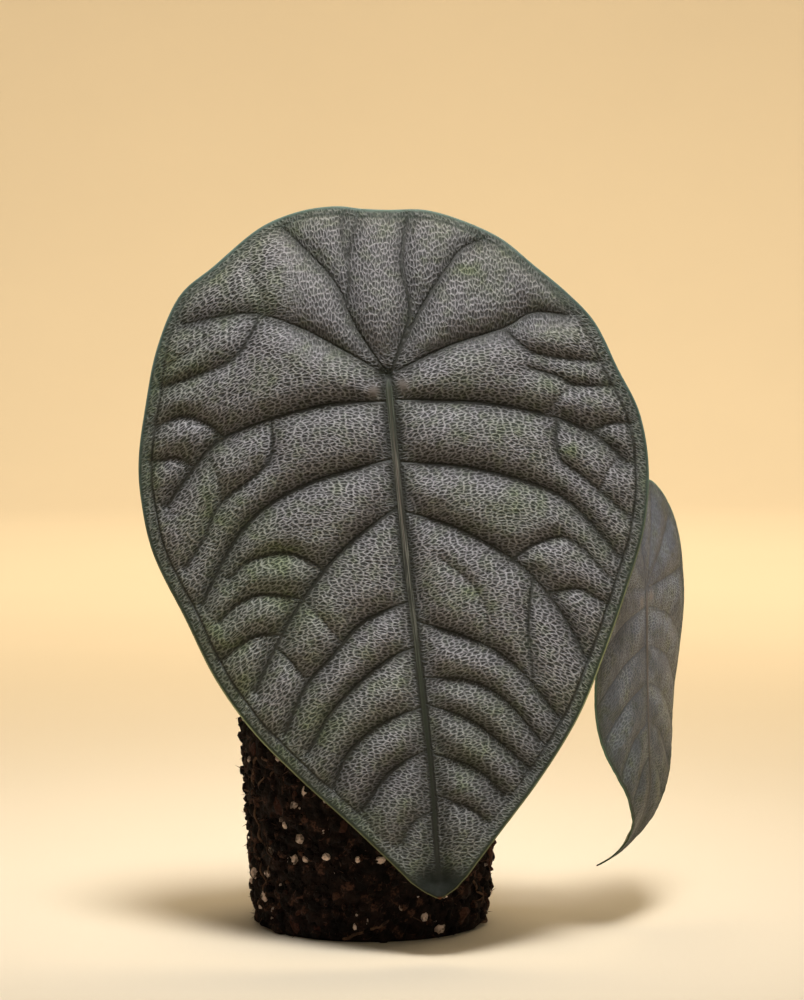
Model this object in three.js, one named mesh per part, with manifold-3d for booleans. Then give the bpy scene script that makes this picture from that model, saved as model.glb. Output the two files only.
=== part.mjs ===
// A small alocasia melo lifted out of its nursery pot: a moulded root ball of potting mix, a short stem
// standing in it, and two peltate leaves with deeply quilted blades on arching petioles.
// Millimetres, +Z up. The origin is the middle of the root ball's flat base, and the large leaf faces -Y.
import * as THREE from "three";
import { mergeVertices } from "three/addons/utils/BufferGeometryUtils.js";
import Module from "manifold-3d";

const wasm = await Module();
wasm.setup();

// Driving dimensions
const FIT_GAP = 0.3;
const ROOT_BALL = {
  height: 67,
  baseRadius: 33,
  topRadius: 37.7,
  footBevel: 1.2,
  edgeRound: 4,
  roughness: 0.7,
  sides: 40,
  rows: 12,
  topRings: [0.74, 0.58, 0.42],
  heave: { height: 0.8, acrossX: 0.16, acrossY: 0.13 },
};
const GRAINS = { count: 60, size: 2.2, sunk: 0.35, sunkOnTop: 0.25, oneInTop: 5 };
const STEM = { radius: 10, footRadius: 8, bottom: 46, top: 76, crown: 6 };
const SCARS = { rings: 4, depth: 0.5, sides: 16 };
const BLADE = { thickness: 1.1, jointHeight: 2.2, jointRadius: 4 };
const FRONT_BLADE = {
  attachment: [5.2, -60, 159.5],
  backwardTilt: 4,
  roll: 5.7,
  puff: 3.2,
  margin: { inset: 4.3, upperInset: 2.6, upperAt: 25, reach: 7, depth: 0.9 },
  droop: { side: 17, halfWidth: 70, fold: 0, top: 13, topLength: 46, tip: 9, tipLength: 140 },
  curl: { start: -137, radius: 14 },
  spacing: { margin: 4, vein: 3.7, shoulder: 2.3, fill: 4.8 },
};
const SIDE_BLADE = {
  attachment: [79.7, -12, 97.5],
  turn: 66,
  puff: 1.1,
  margin: { inset: 2.6, upperInset: 2, upperAt: 25, reach: 5, depth: 0.9 },
  droop: { side: 2.3, halfWidth: 35, fold: 1.3, top: 2, topLength: 29, tip: -2.4, tipLength: 44 },
  curl: { start: -54, radius: 28 },
  spacing: { margin: 3.6, vein: 3.8, shoulder: 1.9, fill: 4.6 },
};
const PETIOLE = {
  sheathEnd: 0.36,
  taper: 1.3,
  swell: { share: 0.25, at: 0.95, length: 0.05 },
  channel: { share: 0.3, halfAngle: 0.6 },
  sides: 12,
  steps: 20,
};
const FRONT_PETIOLE = {
  path: [
    [-3.9, 0.5, 58], [-4.3, -1, 78], [-1.5, -13, 112], [3, -34, 145], [5, -48, 156.5], [5.2, -56.6, 159.3],
  ],
  baseRadius: 3.5,
  apexRadius: 2.2,
  groove: -40,
};
const SIDE_PETIOLE = {
  path: [
    [3.7, 1, 58], [5, 0.5, 76], [16, -3, 100], [40, -7.5, 119], [65, -10.5, 113], [78.1, -11.3, 97.5],
  ],
  baseRadius: 3,
  apexRadius: 1.9,
  groove: 200,
};

// Vein ranks: how far from the vein its groove reaches, how deep it is as a share of the puff between
// veins, and half the width of its flat floor.
const RANKS = {
  midrib: { reach: 8, depth: 1, floor: 1.5 },
  main: { reach: 8, depth: 1, floor: 0.3 },
  branch: { reach: 6, depth: 0.75, floor: 0.2 },
  faint: { reach: 4, depth: 0.4, floor: 0.1 },
};

// The large blade, flat, seen from its upper face: the petiole joins at 0, 0 and the tip points to -y.
const FRONT_OUTLINE = [
  [4.5, 46.5], [14.5, 45.5], [24.5, 41.5], [34.5, 35.5], [42.5, 27.5], [51, 19], [58, 10], [63, -3],
  [68, -16], [69, -31.5], [66, -47.5], [59.5, -63.5], [51.5, -80.5], [42.5, -97], [30.5, -112.5], [18, -126],
  [8, -137], [4.5, -142], [0, -146], [-4, -142], [-10, -134], [-22.5, -119.5], [-35, -106], [-46.5, -92],
  [-55.5, -76.5], [-62, -59.5], [-69, -41.5], [-71, -26.5], [-70.5, -14.5], [-67, 0], [-62.5, 14.5],
  [-55, 28.5], [-44.5, 36], [-31.5, 45], [-20.5, 48.5], [-10, 49], [-2.5, 47.5],
];
const FRONT_VEINS = [
  ["midrib", [0, 0], [0, -33], [0.5, -71], [1, -109.5], [0, -139]],
  // the five that fan up from the petiole, with their forks
  ["main", [-0.5, 1.5], [-7.5, 14.5], [-12, 27.5], [-20.5, 39], [-25, 44.5]],
  ["branch", [-9, 21.5], [-7.5, 30], [-8.3, 40], [-8, 47]],
  ["branch", [-7.5, 34], [-5.5, 40], [-3.5, 46]],
  ["main", [1, 1.5], [6.5, 13], [8, 19.5], [7, 31], [10, 44.5]],
  ["main", [3.5, 6.5], [12, 19.5], [20, 29.5], [24, 33.5], [29.5, 35.5]],
  ["main", [2.5, 1.5], [17.5, 7], [33, 10.5], [41, 14], [50.5, 12.5]],
  ["branch", [33, 10], [38.5, 4], [47.5, 1], [58.5, -1]],
  ["main", [-1.5, 1.5], [-12, 9], [-23.5, 16.5], [-36.5, 21.5], [-54.5, 20.5]],
  ["branch", [-33.5, 19.5], [-39.5, 11], [-46.5, 7.5], [-62, 4]],
  ["faint", [-49, 20.5], [-49.5, 15], [-60, 9.5]],
  ["faint", [-32, 20], [-32, 24.5], [-35, 34]],
  // left of the midrib, from the petiole down to the tip
  ["main", [-1, -6.5], [-16.5, -5.5], [-33, -8], [-46, -11.5], [-54, -17.5], [-64, -28.5]],
  ["branch", [-46.5, -11.5], [-50, -7.5], [-57, -4.5], [-64.5, -6.5]],
  ["branch", [-56, -18.5], [-60, -15.5], [-67.5, -16]],
  ["branch", [-32.5, -8.5], [-34.5, -19.5], [-48.5, -29], [-54.5, -38.5], [-60.5, -46]],
  ["faint", [-51.5, -16], [-49, -23], [-48.5, -29]],
  ["main", [-1, -22], [-21.5, -25.5], [-36.5, -31.5], [-47, -41], [-57, -56.5]],
  ["main", [0, -34.5], [-16, -44.5], [-29, -57.5], [-38.5, -71], [-44.5, -81.5]],
  ["branch", [-22.5, -50], [-31.5, -44.5], [-42, -45.5], [-48.5, -50]],
  ["branch", [-29.5, -57.5], [-39, -55], [-46, -56.5], [-52.5, -61.5]],
  ["branch", [-35.5, -67], [-43, -66], [-52.5, -71.5]],
  ["main", [-0.5, -61], [-13, -65], [-23.5, -74.5], [-30.5, -81], [-37.5, -93.5]],
  ["branch", [-38, -70], [-34, -74], [-30.5, -79]],
  ["faint", [-29, -58], [-24, -64], [-19.5, -70.5]],
  ["main", [0, -73.5], [-8.5, -76.5], [-22.5, -87], [-31.5, -99]],
  ["main", [0.5, -90], [-10.5, -93], [-20.5, -100], [-26, -109.5]],
  ["main", [1, -101.5], [-10, -106.5], [-19, -117]],
  ["branch", [1, -118.5], [-5, -121], [-9, -126.5]],
  // right of the midrib, from the petiole down to the tip
  ["main", [0, -6], [24, -9], [43, -14.5], [54.5, -20.5], [63, -29]],
  ["branch", [54, -20], [59, -18], [65.5, -18.5]],
  ["faint", [42, -14], [46, -9.5], [50.5, -6.5]],
  ["branch", [38.5, -1], [46, -4], [50.5, -6.5], [61, -8]],
  ["main", [0.5, -23], [18.5, -26], [35.5, -32], [46.5, -39], [58, -54.5]],
  ["branch", [44.5, -15.5], [44, -25.5], [50.5, -32], [62, -44]],
  ["faint", [60.5, -28], [57.5, -31], [55.5, -35]],
  ["main", [0.5, -36.5], [14, -42], [30, -53.5], [40, -67], [46, -81]],
  ["branch", [28.5, -52.5], [36, -48.5], [45, -48.5], [55, -60]],
  ["branch", [37.5, -62.5], [46, -62], [53, -67]],
  ["faint", [9.5, -50.5], [16.5, -57.5], [20, -65.5], [19.5, -73]],
  ["branch", [34, -58], [31.5, -70.5], [31.5, -84]],
  ["main", [1, -66.5], [15, -72.5], [26, -80.5], [37, -96.5]],
  ["main", [2, -82], [14, -84], [23, -90.5], [31.5, -102.5]],
  ["main", [2, -89.5], [14, -95.5], [28, -110]],
  ["main", [2, -103], [13, -108], [20, -116]],
  ["branch", [2, -114.5], [10.5, -118.5], [14.5, -122.5]],
];

// The smaller, older blade is regular: half an outline, and the ends of the veins on one side.
const SIDE_HALF_OUTLINE = [
  [10, 30.5], [20, 25], [28, 16.5], [33, 4], [35, -10], [34.5, -22], [31, -36], [25.5, -47], [17, -57],
  [9, -65.5], [4.2, -72], [1.8, -78],
];
const SIDE_TOP = [0, 31.5];
const SIDE_TIP = [0, -86];
const SIDE_LATERALS = [
  { from: 1, to: [8, 28] }, { from: 1, to: [22, 20] }, { from: 0, to: [32, 4] }, { from: -5, to: [33, -16] },
  { from: -16, to: [32, -30] }, { from: -27, to: [28, -41] }, { from: -38, to: [20, -52] },
  { from: -48, to: [12, -60] },
];

const { degToRad: radians, lerp, smoothstep } = THREE.MathUtils;
const GOLDEN_ANGLE = radians(137.5);
// Rows of an even triangular pattern lie this share of its spacing apart.
const TRIANGLE_ROW = Math.sin(radians(60));

// A repeatable stream of numbers from 0 to 1.
function seeded(seed) {
  let state = seed;
  return () => {
    state = (state + 0x6d2b79f5) | 0;
    let mixed = Math.imul(state ^ (state >>> 15), 1 | state);
    mixed = (mixed + Math.imul(mixed ^ (mixed >>> 7), 61 | mixed)) ^ mixed;
    return ((mixed ^ (mixed >>> 14)) >>> 0) / 4294967296;
  };
}

// Plane geometry on [x, y] points

function spline(points, spacing) {
  const curve = new THREE.SplineCurve(points.map(([x, y]) => new THREE.Vector2(x, y)));
  const steps = Math.max(2, Math.round(curve.getLength() / spacing));
  return curve.getSpacedPoints(steps).map((p) => [p.x, p.y]);
}

// A loop of evenly spaced points that starts at the outline's lowest point, so that the tip is kept.
function outlineLoop(outline, spacing) {
  const tip = outline.indexOf(outline.reduce((lowest, point) => (point[1] < lowest[1] ? point : lowest)));
  const fromTip = [...outline.slice(tip), ...outline.slice(0, tip + 1)];
  return spline(fromTip, spacing).slice(0, -1);
}

function insetLoop(loop, insetAt) {
  return loop.map(([x, y], i) => {
    const [px, py] = loop.at(i - 1);
    const [nx, ny] = loop[(i + 1) % loop.length];
    const scale = insetAt(y) / Math.hypot(nx - px, ny - py);
    return [x + (ny - py) * scale, y - (nx - px) * scale];
  });
}

function distanceToLine([x, y], line) {
  let nearest = Infinity;
  for (let i = 1; i < line.length; i++) {
    const [ax, ay] = line[i - 1];
    const [dx, dy] = [line[i][0] - ax, line[i][1] - ay];
    const along = ((x - ax) * dx + (y - ay) * dy) / (dx * dx + dy * dy);
    const t = Math.min(1, Math.max(0, along));
    nearest = Math.min(nearest, Math.hypot(x - ax - t * dx, y - ay - t * dy));
  }
  return nearest;
}

function isInside([x, y], loop) {
  let inside = false;
  loop.forEach(([ax, ay], i) => {
    const [bx, by] = loop[(i + 1) % loop.length];
    if (ay > y !== by > y && x < ax + ((y - ay) * (bx - ax)) / (by - ay)) inside = !inside;
  });
  return inside;
}

// Points beside a line, at the same distance on both sides.
function besideLine(line, distance) {
  return line.slice(1, -1).flatMap(([x, y], i) => {
    const [dx, dy] = [line[i + 2][0] - line[i][0], line[i + 2][1] - line[i][1]];
    const scale = distance / Math.hypot(dx, dy);
    return [[x - dy * scale, y + dx * scale], [x + dy * scale, y - dx * scale]];
  });
}

function withCircle(corners, points) {
  const [[ax, ay], [bx, by], [cx, cy]] = corners.map((i) => points[i]);
  const twiceArea = 2 * (ax * (by - cy) + bx * (cy - ay) + cx * (ay - by));
  const [a2, b2, c2] = [ax * ax + ay * ay, bx * bx + by * by, cx * cx + cy * cy];
  const x = (a2 * (by - cy) + b2 * (cy - ay) + c2 * (ay - by)) / twiceArea;
  const y = (a2 * (cx - bx) + b2 * (ax - cx) + c2 * (bx - ax)) / twiceArea;
  return { corners, x, y, radius2: (ax - x) ** 2 + (ay - y) ** 2 };
}

// Delaunay triangles of the points, wound anticlockwise, by adding one point at a time.
function triangulate(points) {
  const far = 1e4;
  const all = [...points, [-far, -far], [far, -far], [0, far]];
  const count = points.length;
  let triangles = [withCircle([count, count + 1, count + 2], all)];
  points.forEach(([x, y], index) => {
    const rim = new Map();
    triangles = triangles.filter((triangle) => {
      if ((x - triangle.x) ** 2 + (y - triangle.y) ** 2 > triangle.radius2) return true;
      triangle.corners.forEach((from, side) => {
        const to = triangle.corners[(side + 1) % 3];
        if (!rim.delete(to + "," + from)) rim.set(from + "," + to, [from, to]);
      });
      return false;
    });
    for (const [from, to] of rim.values()) triangles.push(withCircle([from, to, index], all));
  });
  return triangles.map((triangle) => triangle.corners).filter((corners) => corners.every((i) => i < count));
}

// Blades

function bladePlan(shape, outline, veins, seed) {
  const { margin, spacing } = shape;
  const edge = outlineLoop(outline, spacing.margin);
  const insetAt = (y) => lerp(margin.inset, margin.upperInset, smoothstep(y, 0, margin.upperAt));
  const marginVein = insetLoop(edge, insetAt);
  const lines = veins.map(([rank, ...stops]) => {
    return { ...RANKS[rank], rank, line: spline(stops, spacing.vein) };
  });
  const points = [...edge];
  // Candidates that lie too close to a point already there are left out.
  const add = (candidates, apart) => {
    for (const [x, y] of candidates) {
      const clear = points.every(([px, py]) => Math.hypot(x - px, y - py) >= apart);
      if (clear && isInside([x, y], edge)) points.push([x, y]);
    }
  };
  add(marginVein, spacing.margin * 0.5);
  for (const { line } of lines) add(line, spacing.vein * 0.5);
  for (const { line, floor, rank } of lines) {
    if (rank === "midrib") add(besideLine(line, floor), spacing.shoulder * 0.5);
    if (rank !== "faint") add(besideLine(line, spacing.shoulder + floor), spacing.shoulder * 0.8);
  }
  add(insetLoop(edge, (y) => insetAt(y) + spacing.shoulder), spacing.shoulder * 0.8);
  const random = seeded(seed);
  const farthest = Math.max(...edge.flat().map(Math.abs));
  for (let y = -farthest; y < farthest; y += spacing.fill * TRIANGLE_ROW) {
    for (let x = -farthest; x < farthest; x += spacing.fill) {
      add([[x + random() - 0.5, y + random() - 0.5]], spacing.fill * 0.72);
    }
  }
  const corners = triangulate(points).filter((triangle) => {
    const middle = [0, 1].map((axis) => triangle.reduce((sum, i) => sum + points[i][axis] / 3, 0));
    return isInside(middle, edge);
  });
  return { shape, lines, points, corners, marginVein: [...marginVein, marginVein[0]] };
}

// How far the upper face lies below the panels' crowns: every vein and the vein along the margin sink it.
function sunk({ shape, lines, marginVein }, point) {
  const grooves = [{ ...shape.margin, floor: 0, line: marginVein }, ...lines];
  const crown = grooves.reduce((product, { reach, depth, floor, line }) => {
    const away = Math.max(0, distanceToLine(point, line) - floor);
    const share = Math.max(0, 1 - away / reach);
    return product * (1 - depth * share * share);
  }, 1);
  return shape.puff * (1 - crown);
}

// The bent sheet that the blade follows, without its quilting. Sides, top and tip bend back, and the
// stretch past the curl's start turns back on an arc.
function bentSheet(shape, [x, y], height) {
  const { droop, curl } = shape;
  const top = droop.top * (Math.max(0, y) / droop.topLength) ** 2;
  const tip = droop.tip * (Math.max(Math.min(0, y), curl.start) / droop.tipLength) ** 2;
  const fold = 1 + droop.fold * smoothstep(-y, 0, droop.tipLength);
  const side = droop.side * fold * (x / droop.halfWidth) ** 2;
  const level = height - top - tip - side;
  const past = Math.max(0, curl.start - y) / curl.radius;
  const lift = curl.radius + level;
  return past > 0
    ? new THREE.Vector3(x, curl.start - lift * Math.sin(past), lift * Math.cos(past) - curl.radius)
    : new THREE.Vector3(x, y, level);
}

function sheetNormal(shape, [x, y]) {
  const step = 0.5;
  const across = bentSheet(shape, [x + step, y], 0).sub(bentSheet(shape, [x - step, y], 0));
  const along = bentSheet(shape, [x, y + step], 0).sub(bentSheet(shape, [x, y - step], 0));
  return across.cross(along).normalize();
}

// The blade as a closed shell: the quilted upper face, the same triangles on the underside, and the rim.
// extra thickens the underside, for cutting what meets it.
function bladeGeometry(plan, extra = 0) {
  const { shape, points, corners } = plan;
  const count = points.length;
  const upper = points.map((p) => bentSheet(shape, p, -sunk(plan, p)));
  const lower = points.map((p, i) => {
    const joint = BLADE.jointHeight * Math.exp(-((Math.hypot(...p) / BLADE.jointRadius) ** 2));
    const depth = BLADE.thickness + joint + extra;
    return sheetNormal(shape, p).multiplyScalar(-depth).add(upper[i]);
  });
  const rim = new Map();
  const faces = [];
  for (const [a, b, c] of corners) {
    faces.push(a, b, c, a + count, c + count, b + count);
    [[a, b], [b, c], [c, a]].forEach(([from, to]) => {
      if (!rim.delete(to + "," + from)) rim.set(from + "," + to, [from, to]);
    });
  }
  for (const [from, to] of rim.values()) faces.push(to, from, from + count, to, from + count, to + count);
  return new THREE.BufferGeometry().setFromPoints([...upper, ...lower]).setIndex(faces);
}

// Laterals leave the midrib nearly square to it and then sweep towards the tip, or fan up above it.
function sideVeins() {
  const laterals = [1, -1].flatMap((side) =>
    SIDE_LATERALS.map(({ from, to: [x, y] }) => {
      const bend = [side * x * 0.55, from + (y - from) * (y > 0 ? 0.5 : 0.32)];
      return ["main", [side * 0.6, from], bend, [side * x, y]];
    }),
  );
  return [["midrib", [0, 0], [0, -40], [0, -72]], ...laterals];
}

function sideOutline() {
  const left = SIDE_HALF_OUTLINE.map(([x, y]) => [-x, y]).reverse();
  return [SIDE_TOP, ...SIDE_HALF_OUTLINE, SIDE_TIP, ...left];
}

// Stems and soil

// A cylinder bent along a curve, with its own radius at each height and angle.
function bentTube(path, radiusAt, sides, steps) {
  const curve = new THREE.CatmullRomCurve3(path.map((p) => new THREE.Vector3(...p)));
  const tube = new THREE.CylinderGeometry(1, 1, 1, sides, steps).translate(0, 0.5, 0);
  const position = tube.getAttribute("position");
  const frames = curve.computeFrenetFrames(steps, false);
  for (let i = 0; i < position.count; i++) {
    const [x, t, z] = [position.getX(i), position.getY(i), position.getZ(i)];
    const step = Math.round(t * steps);
    const radius = radiusAt(t, Math.atan2(z, x));
    const point = curve
      .getPointAt(Math.min(1, Math.max(0, t)))
      .addScaledVector(frames.binormals[step], x * radius)
      .addScaledVector(frames.normals[step], z * radius);
    position.setXYZ(i, point.x, point.y, point.z);
  }
  return tube;
}

// A petiole: a sheathing foot with a channel down its inner side, narrowing to a slim round stalk that
// swells a little below the blade. extra thickens it, for cutting the socket that it stands in.
function petioleGeometry({ path, baseRadius, apexRadius, groove }, extra = 0) {
  const { sheathEnd, taper, swell, channel, sides, steps } = PETIOLE;
  const radiusAt = (t, angle) => {
    const sheath = Math.max(0, 1 - t / sheathEnd);
    const slim = lerp(apexRadius * taper, apexRadius, t) + (baseRadius - apexRadius * taper) * sheath;
    const swelling = swell.share * apexRadius * Math.exp(-(((t - swell.at) / swell.length) ** 2));
    const off = angle - radians(groove);
    const away = Math.atan2(Math.sin(off), Math.cos(off)) / channel.halfAngle;
    const hollowing = channel.share * Math.min(1, sheath * 3) * Math.exp(-(away ** 2));
    return (slim + swelling) * (1 - hollowing) + extra;
  };
  return bentTube(path, radiusAt, sides, steps);
}

// A solid of revolution about the vertical, from [radius, height] points.
function turned(profile, sides) {
  const points = profile.map(([radius, height]) => new THREE.Vector2(radius, height));
  return new THREE.LatheGeometry(points, sides).rotateX(Math.PI / 2);
}

// The short upright stem, ringed by the scars of old leaves and rounded at its crown.
function stemGeometry() {
  const { radius, footRadius, bottom, top, crown } = STEM;
  const { rings, depth, sides } = SCARS;
  const profile = [[0, bottom]];
  for (let row = 0; row <= rings * 2; row++) {
    const t = row / (rings * 2);
    const scar = row % 2 ? 0 : depth;
    profile.push([lerp(footRadius, radius, Math.min(1, t * 3)) - scar, lerp(bottom, top - crown, t)]);
  }
  profile.push([radius * 0.78, top - crown * 0.35], [radius * 0.42, top - crown * 0.06], [0, top]);
  return turned(profile, sides);
}

// The moulded plug of potting mix, before its grains: flat below, worn round at the top edge, and rough.
function plugGeometry() {
  const { height, baseRadius, topRadius, footBevel, edgeRound } = ROOT_BALL;
  const { roughness, sides, rows, topRings, heave } = ROOT_BALL;
  const profile = [[0, 0], [baseRadius * 0.5, 0], [baseRadius - footBevel, 0]];
  for (let row = 0; row <= rows; row++) {
    const t = row / rows;
    profile.push([lerp(baseRadius, topRadius, t), lerp(footBevel, height - edgeRound, t)]);
  }
  profile.push([topRadius - edgeRound * 0.3, height - edgeRound * 0.3], [topRadius - edgeRound, height]);
  for (const share of topRings) profile.push([topRadius * share, height]);
  profile.push([0, height]);
  const plug = solidSource(turned(profile, sides));
  const position = plug.getAttribute("position");
  const random = seeded(5);
  const unevenness = () => roughness * (2 * random() - 1);
  for (let i = 0; i < position.count; i++) {
    const [x, y, z] = [position.getX(i), position.getY(i), position.getZ(i)];
    if (z < footBevel / 2) continue;
    const outward = 1 + unevenness() / topRadius;
    const mound = heave.height * Math.sin(x * heave.acrossX + 1) * Math.sin(y * heave.acrossY);
    const isTop = z > height - 1;
    position.setXYZ(i, x * outward, y * outward, isTop ? z + unevenness() + mound : z);
  }
  return plug;
}

// Grains of bark, perlite and mix that stand out of the plug's side and top.
function grainGeometries() {
  const { height, baseRadius, topRadius, edgeRound } = ROOT_BALL;
  const { count, size, sunk: sunkShare, sunkOnTop, oneInTop } = GRAINS;
  const random = seeded(41);
  return Array.from({ length: count }, (_, index) => {
    const radius = size * (0.6 + 0.8 * random());
    const grain = new THREE.IcosahedronGeometry(radius, 0);
    grain.scale(1, 0.7 + 0.5 * random(), 0.6 + 0.4 * random());
    grain.rotateX(random() * Math.PI).rotateZ(random() * 2 * Math.PI);
    const angle = index * GOLDEN_ANGLE + random() * 0.5;
    const onTop = index % oneInTop === 0;
    const z = onTop ? height - sunkOnTop * radius : lerp(radius, height - radius, random());
    const onSide = lerp(baseRadius, topRadius, z / height) - sunkShare * radius;
    const around = lerp(STEM.radius + edgeRound, topRadius - edgeRound, Math.sqrt(random()));
    const away = onTop ? around : onSide;
    return grain.translate(away * Math.cos(angle), away * Math.sin(angle), z);
  });
}

// Booleans

function solidSource(geometry) {
  const plain = geometry.clone();
  plain.deleteAttribute("normal");
  plain.deleteAttribute("uv");
  return mergeVertices(plain, 1e-4);
}

function toSolid(geometry) {
  const merged = solidSource(geometry);
  const vertProperties = merged.getAttribute("position").array;
  const triVerts = new Uint32Array(merged.index.array);
  return new wasm.Manifold(new wasm.Mesh({ numProp: 3, vertProperties, triVerts }));
}

function toGeometry(solid) {
  const mesh = solid.getMesh();
  const geometry = new THREE.BufferGeometry();
  geometry.setAttribute("position", new THREE.BufferAttribute(new Float32Array(mesh.vertProperties), 3));
  geometry.setIndex(new THREE.BufferAttribute(new Uint32Array(mesh.triVerts), 1));
  return geometry;
}

// A geometry moved to where a mesh stands.
function placed(geometry, mesh) {
  mesh.updateMatrix();
  return geometry.clone().applyMatrix4(mesh.matrix);
}

// Assembly

function material(color, roughness) {
  return new THREE.MeshStandardMaterial({ color, roughness, metalness: 0, flatShading: true });
}

const MATERIALS = {
  frontBlade: material(0x4b5249, 0.5),
  sideBlade: material(0x4a4d43, 0.55),
  petiole: material(0x6f6a45, 0.5),
  stem: material(0x5b4430, 0.8),
  soil: material(0x2a1d16, 0.95),
};

const plant = new THREE.Group();

function addPiece(name, geometry, pieceMaterial) {
  geometry.computeVertexNormals();
  const mesh = new THREE.Mesh(geometry, pieceMaterial);
  mesh.name = name;
  plant.add(mesh);
  return mesh;
}

const frontPlan = bladePlan(FRONT_BLADE, FRONT_OUTLINE, FRONT_VEINS, 7);
const frontBlade = addPiece("blade_front", bladeGeometry(frontPlan), MATERIALS.frontBlade);
frontBlade.position.set(...FRONT_BLADE.attachment);
frontBlade.rotation.set(radians(90 - FRONT_BLADE.backwardTilt), 0, radians(FRONT_BLADE.roll));

const sidePlan = bladePlan(SIDE_BLADE, sideOutline(), sideVeins(), 11);
const sideBlade = addPiece("blade_side", bladeGeometry(sidePlan), MATERIALS.sideBlade);
sideBlade.position.set(...SIDE_BLADE.attachment);
sideBlade.rotation.set(radians(90), 0, radians(SIDE_BLADE.turn), "ZYX");

const bladeCutters = [
  toSolid(placed(bladeGeometry(frontPlan, FIT_GAP), frontBlade)),
  toSolid(placed(bladeGeometry(sidePlan, FIT_GAP), sideBlade)),
];
const petioles = [["petiole_front", FRONT_PETIOLE], ["petiole_side", SIDE_PETIOLE]];
petioles.forEach(([name, stalk], index) => {
  const solid = toSolid(petioleGeometry(stalk)).subtract(bladeCutters[index]);
  // The scrap of the stalk's end that would show in front of the blade is dropped.
  const [largest] = solid.decompose().sort((a, b) => b.volume() - a.volume());
  addPiece(name, toGeometry(largest), MATERIALS.petiole);
});

const petioleCutters = petioles.map(([, stalk]) => toSolid(petioleGeometry(stalk, FIT_GAP)));
const stem = petioleCutters.reduce((solid, cutter) => solid.subtract(cutter), toSolid(stemGeometry()));
addPiece("stem", toGeometry(stem), MATERIALS.stem);

const holeRadius = STEM.radius + FIT_GAP;
const holeDepth = ROOT_BALL.height;
const stemHole = new THREE.CylinderGeometry(holeRadius, holeRadius, holeDepth, 24)
  .rotateX(Math.PI / 2)
  .translate(0, 0, STEM.bottom - FIT_GAP + holeDepth / 2);
const belowFloor = new THREE.BoxGeometry(200, 200, 20).translate(0, 0, -10);
const rootBall = grainGeometries()
  .reduce((solid, grain) => solid.add(toSolid(grain)), toSolid(plugGeometry()))
  .subtract(toSolid(stemHole))
  .subtract(toSolid(belowFloor));
addPiece("root_ball", toGeometry(rootBall), MATERIALS.soil);

export default plant;
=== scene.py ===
# The finished look of a small alocasia melo lifted out of its nursery pot: two quilted blades with a fine
# raised net, sheathing petioles, a scarred stem and a moulded root ball of potting mix.
# Shapes are worked out in millimetres, +Z up, and MM turns them into Blender's metres.
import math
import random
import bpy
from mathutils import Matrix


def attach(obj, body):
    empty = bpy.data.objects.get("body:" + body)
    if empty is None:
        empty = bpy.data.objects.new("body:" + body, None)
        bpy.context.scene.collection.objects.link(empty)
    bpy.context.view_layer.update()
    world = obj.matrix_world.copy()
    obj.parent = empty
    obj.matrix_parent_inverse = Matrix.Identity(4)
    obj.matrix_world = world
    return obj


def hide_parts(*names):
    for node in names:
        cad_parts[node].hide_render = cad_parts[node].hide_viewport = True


bl_info = {
    "name": "Alocasia Melo",
    "version": (1, 0, 0),
    "blender": (4, 5, 0),
    "location": "3D View > Sidebar > Alocasia",
    "description": "Builds a small alocasia melo on its bare root ball, with a plain stage",
    "category": "Add Mesh",
}

import bmesh
import bpy
import numpy as np
from bpy.props import FloatProperty, FloatVectorProperty, IntProperty, PointerProperty
from mathutils import Matrix, Vector, kdtree, noise

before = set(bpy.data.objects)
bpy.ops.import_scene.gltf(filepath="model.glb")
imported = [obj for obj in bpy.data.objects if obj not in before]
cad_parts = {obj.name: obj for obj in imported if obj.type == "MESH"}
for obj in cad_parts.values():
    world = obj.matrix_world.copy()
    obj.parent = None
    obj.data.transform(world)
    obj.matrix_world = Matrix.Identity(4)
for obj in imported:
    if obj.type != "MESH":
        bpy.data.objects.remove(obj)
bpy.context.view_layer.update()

MM = 0.001
WELD_DISTANCE = 1e-6
LOWEST_LUMP, LOWEST_THREAD = 0.05, 0.02
FULL_TURN = 2 * math.pi
LATHE_SIDES = 96
BODY = "root"

# Sizes in millimetres, most of them shared with the solids
ROOT_BALL = {
    "height": 67,
    "base_radius": 33,
    "top_radius": 37.7,
    "foot_bevel": 1.2,
    "edge_round": 4,
    "heave": {"height": 0.8, "across_x": 0.16, "across_y": 0.13},
    "base_rows": 8,
}
STEM = {
    "radius": 10, "foot_radius": 8, "bottom": 46, "top": 76, "crown": 6, "rings": 4, "scar": 0.5, "rows": 40,
}
JOINT = {
    "height": 2.2,
    "radius": 4,
    "pit": (-0.6, 1.7),
    "pit_radius": 2.1,
    "knobs": [(-4.1, -3.1), (3.8, -2.2)],
    "knob_radius": 1.7,
}
PETIOLE = {
    "sides": 64,
    "steps": 180,
    "ridges": 11,
    "sheath_end": 0.36,
    "taper": 1.3,
    "swell": {"share": 0.25, "at": 0.95, "length": 0.05},
    "channel": {"share": 0.3, "half_angle": 0.6, "lip": 0.12},
}
FRONT_PETIOLE = {
    "path": [
        (-3.9, 0.5, 58), (-4.3, -1, 78), (-1.5, -13, 112), (3, -34, 145), (5, -48, 156.5), (5.2, -55.2, 159.1),
    ],
    "base_radius": 3.5,
    "apex_radius": 2.2,
    "groove": -40,
}
SIDE_PETIOLE = {
    "path": [
        (3.7, 1, 58), (5, 0.5, 76), (16, -3, 100), (40, -7.5, 119), (65, -10.5, 113), (76.9, -10.8, 97.9),
    ],
    "base_radius": 3,
    "apex_radius": 1.9,
    "groove": 200,
}

# How the fine net slants beside the midrib and far out, in degrees, and where it fans upwards instead
NET_SLANTS = (-12, 26)
FAN = {"left": (-30, -18), "right": (42, 56), "above": (4, 12)}

# Half the width of the raised midrib at its top and at its tip
MIDRIB_WIDTHS = (1.2, 0.35)

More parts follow.
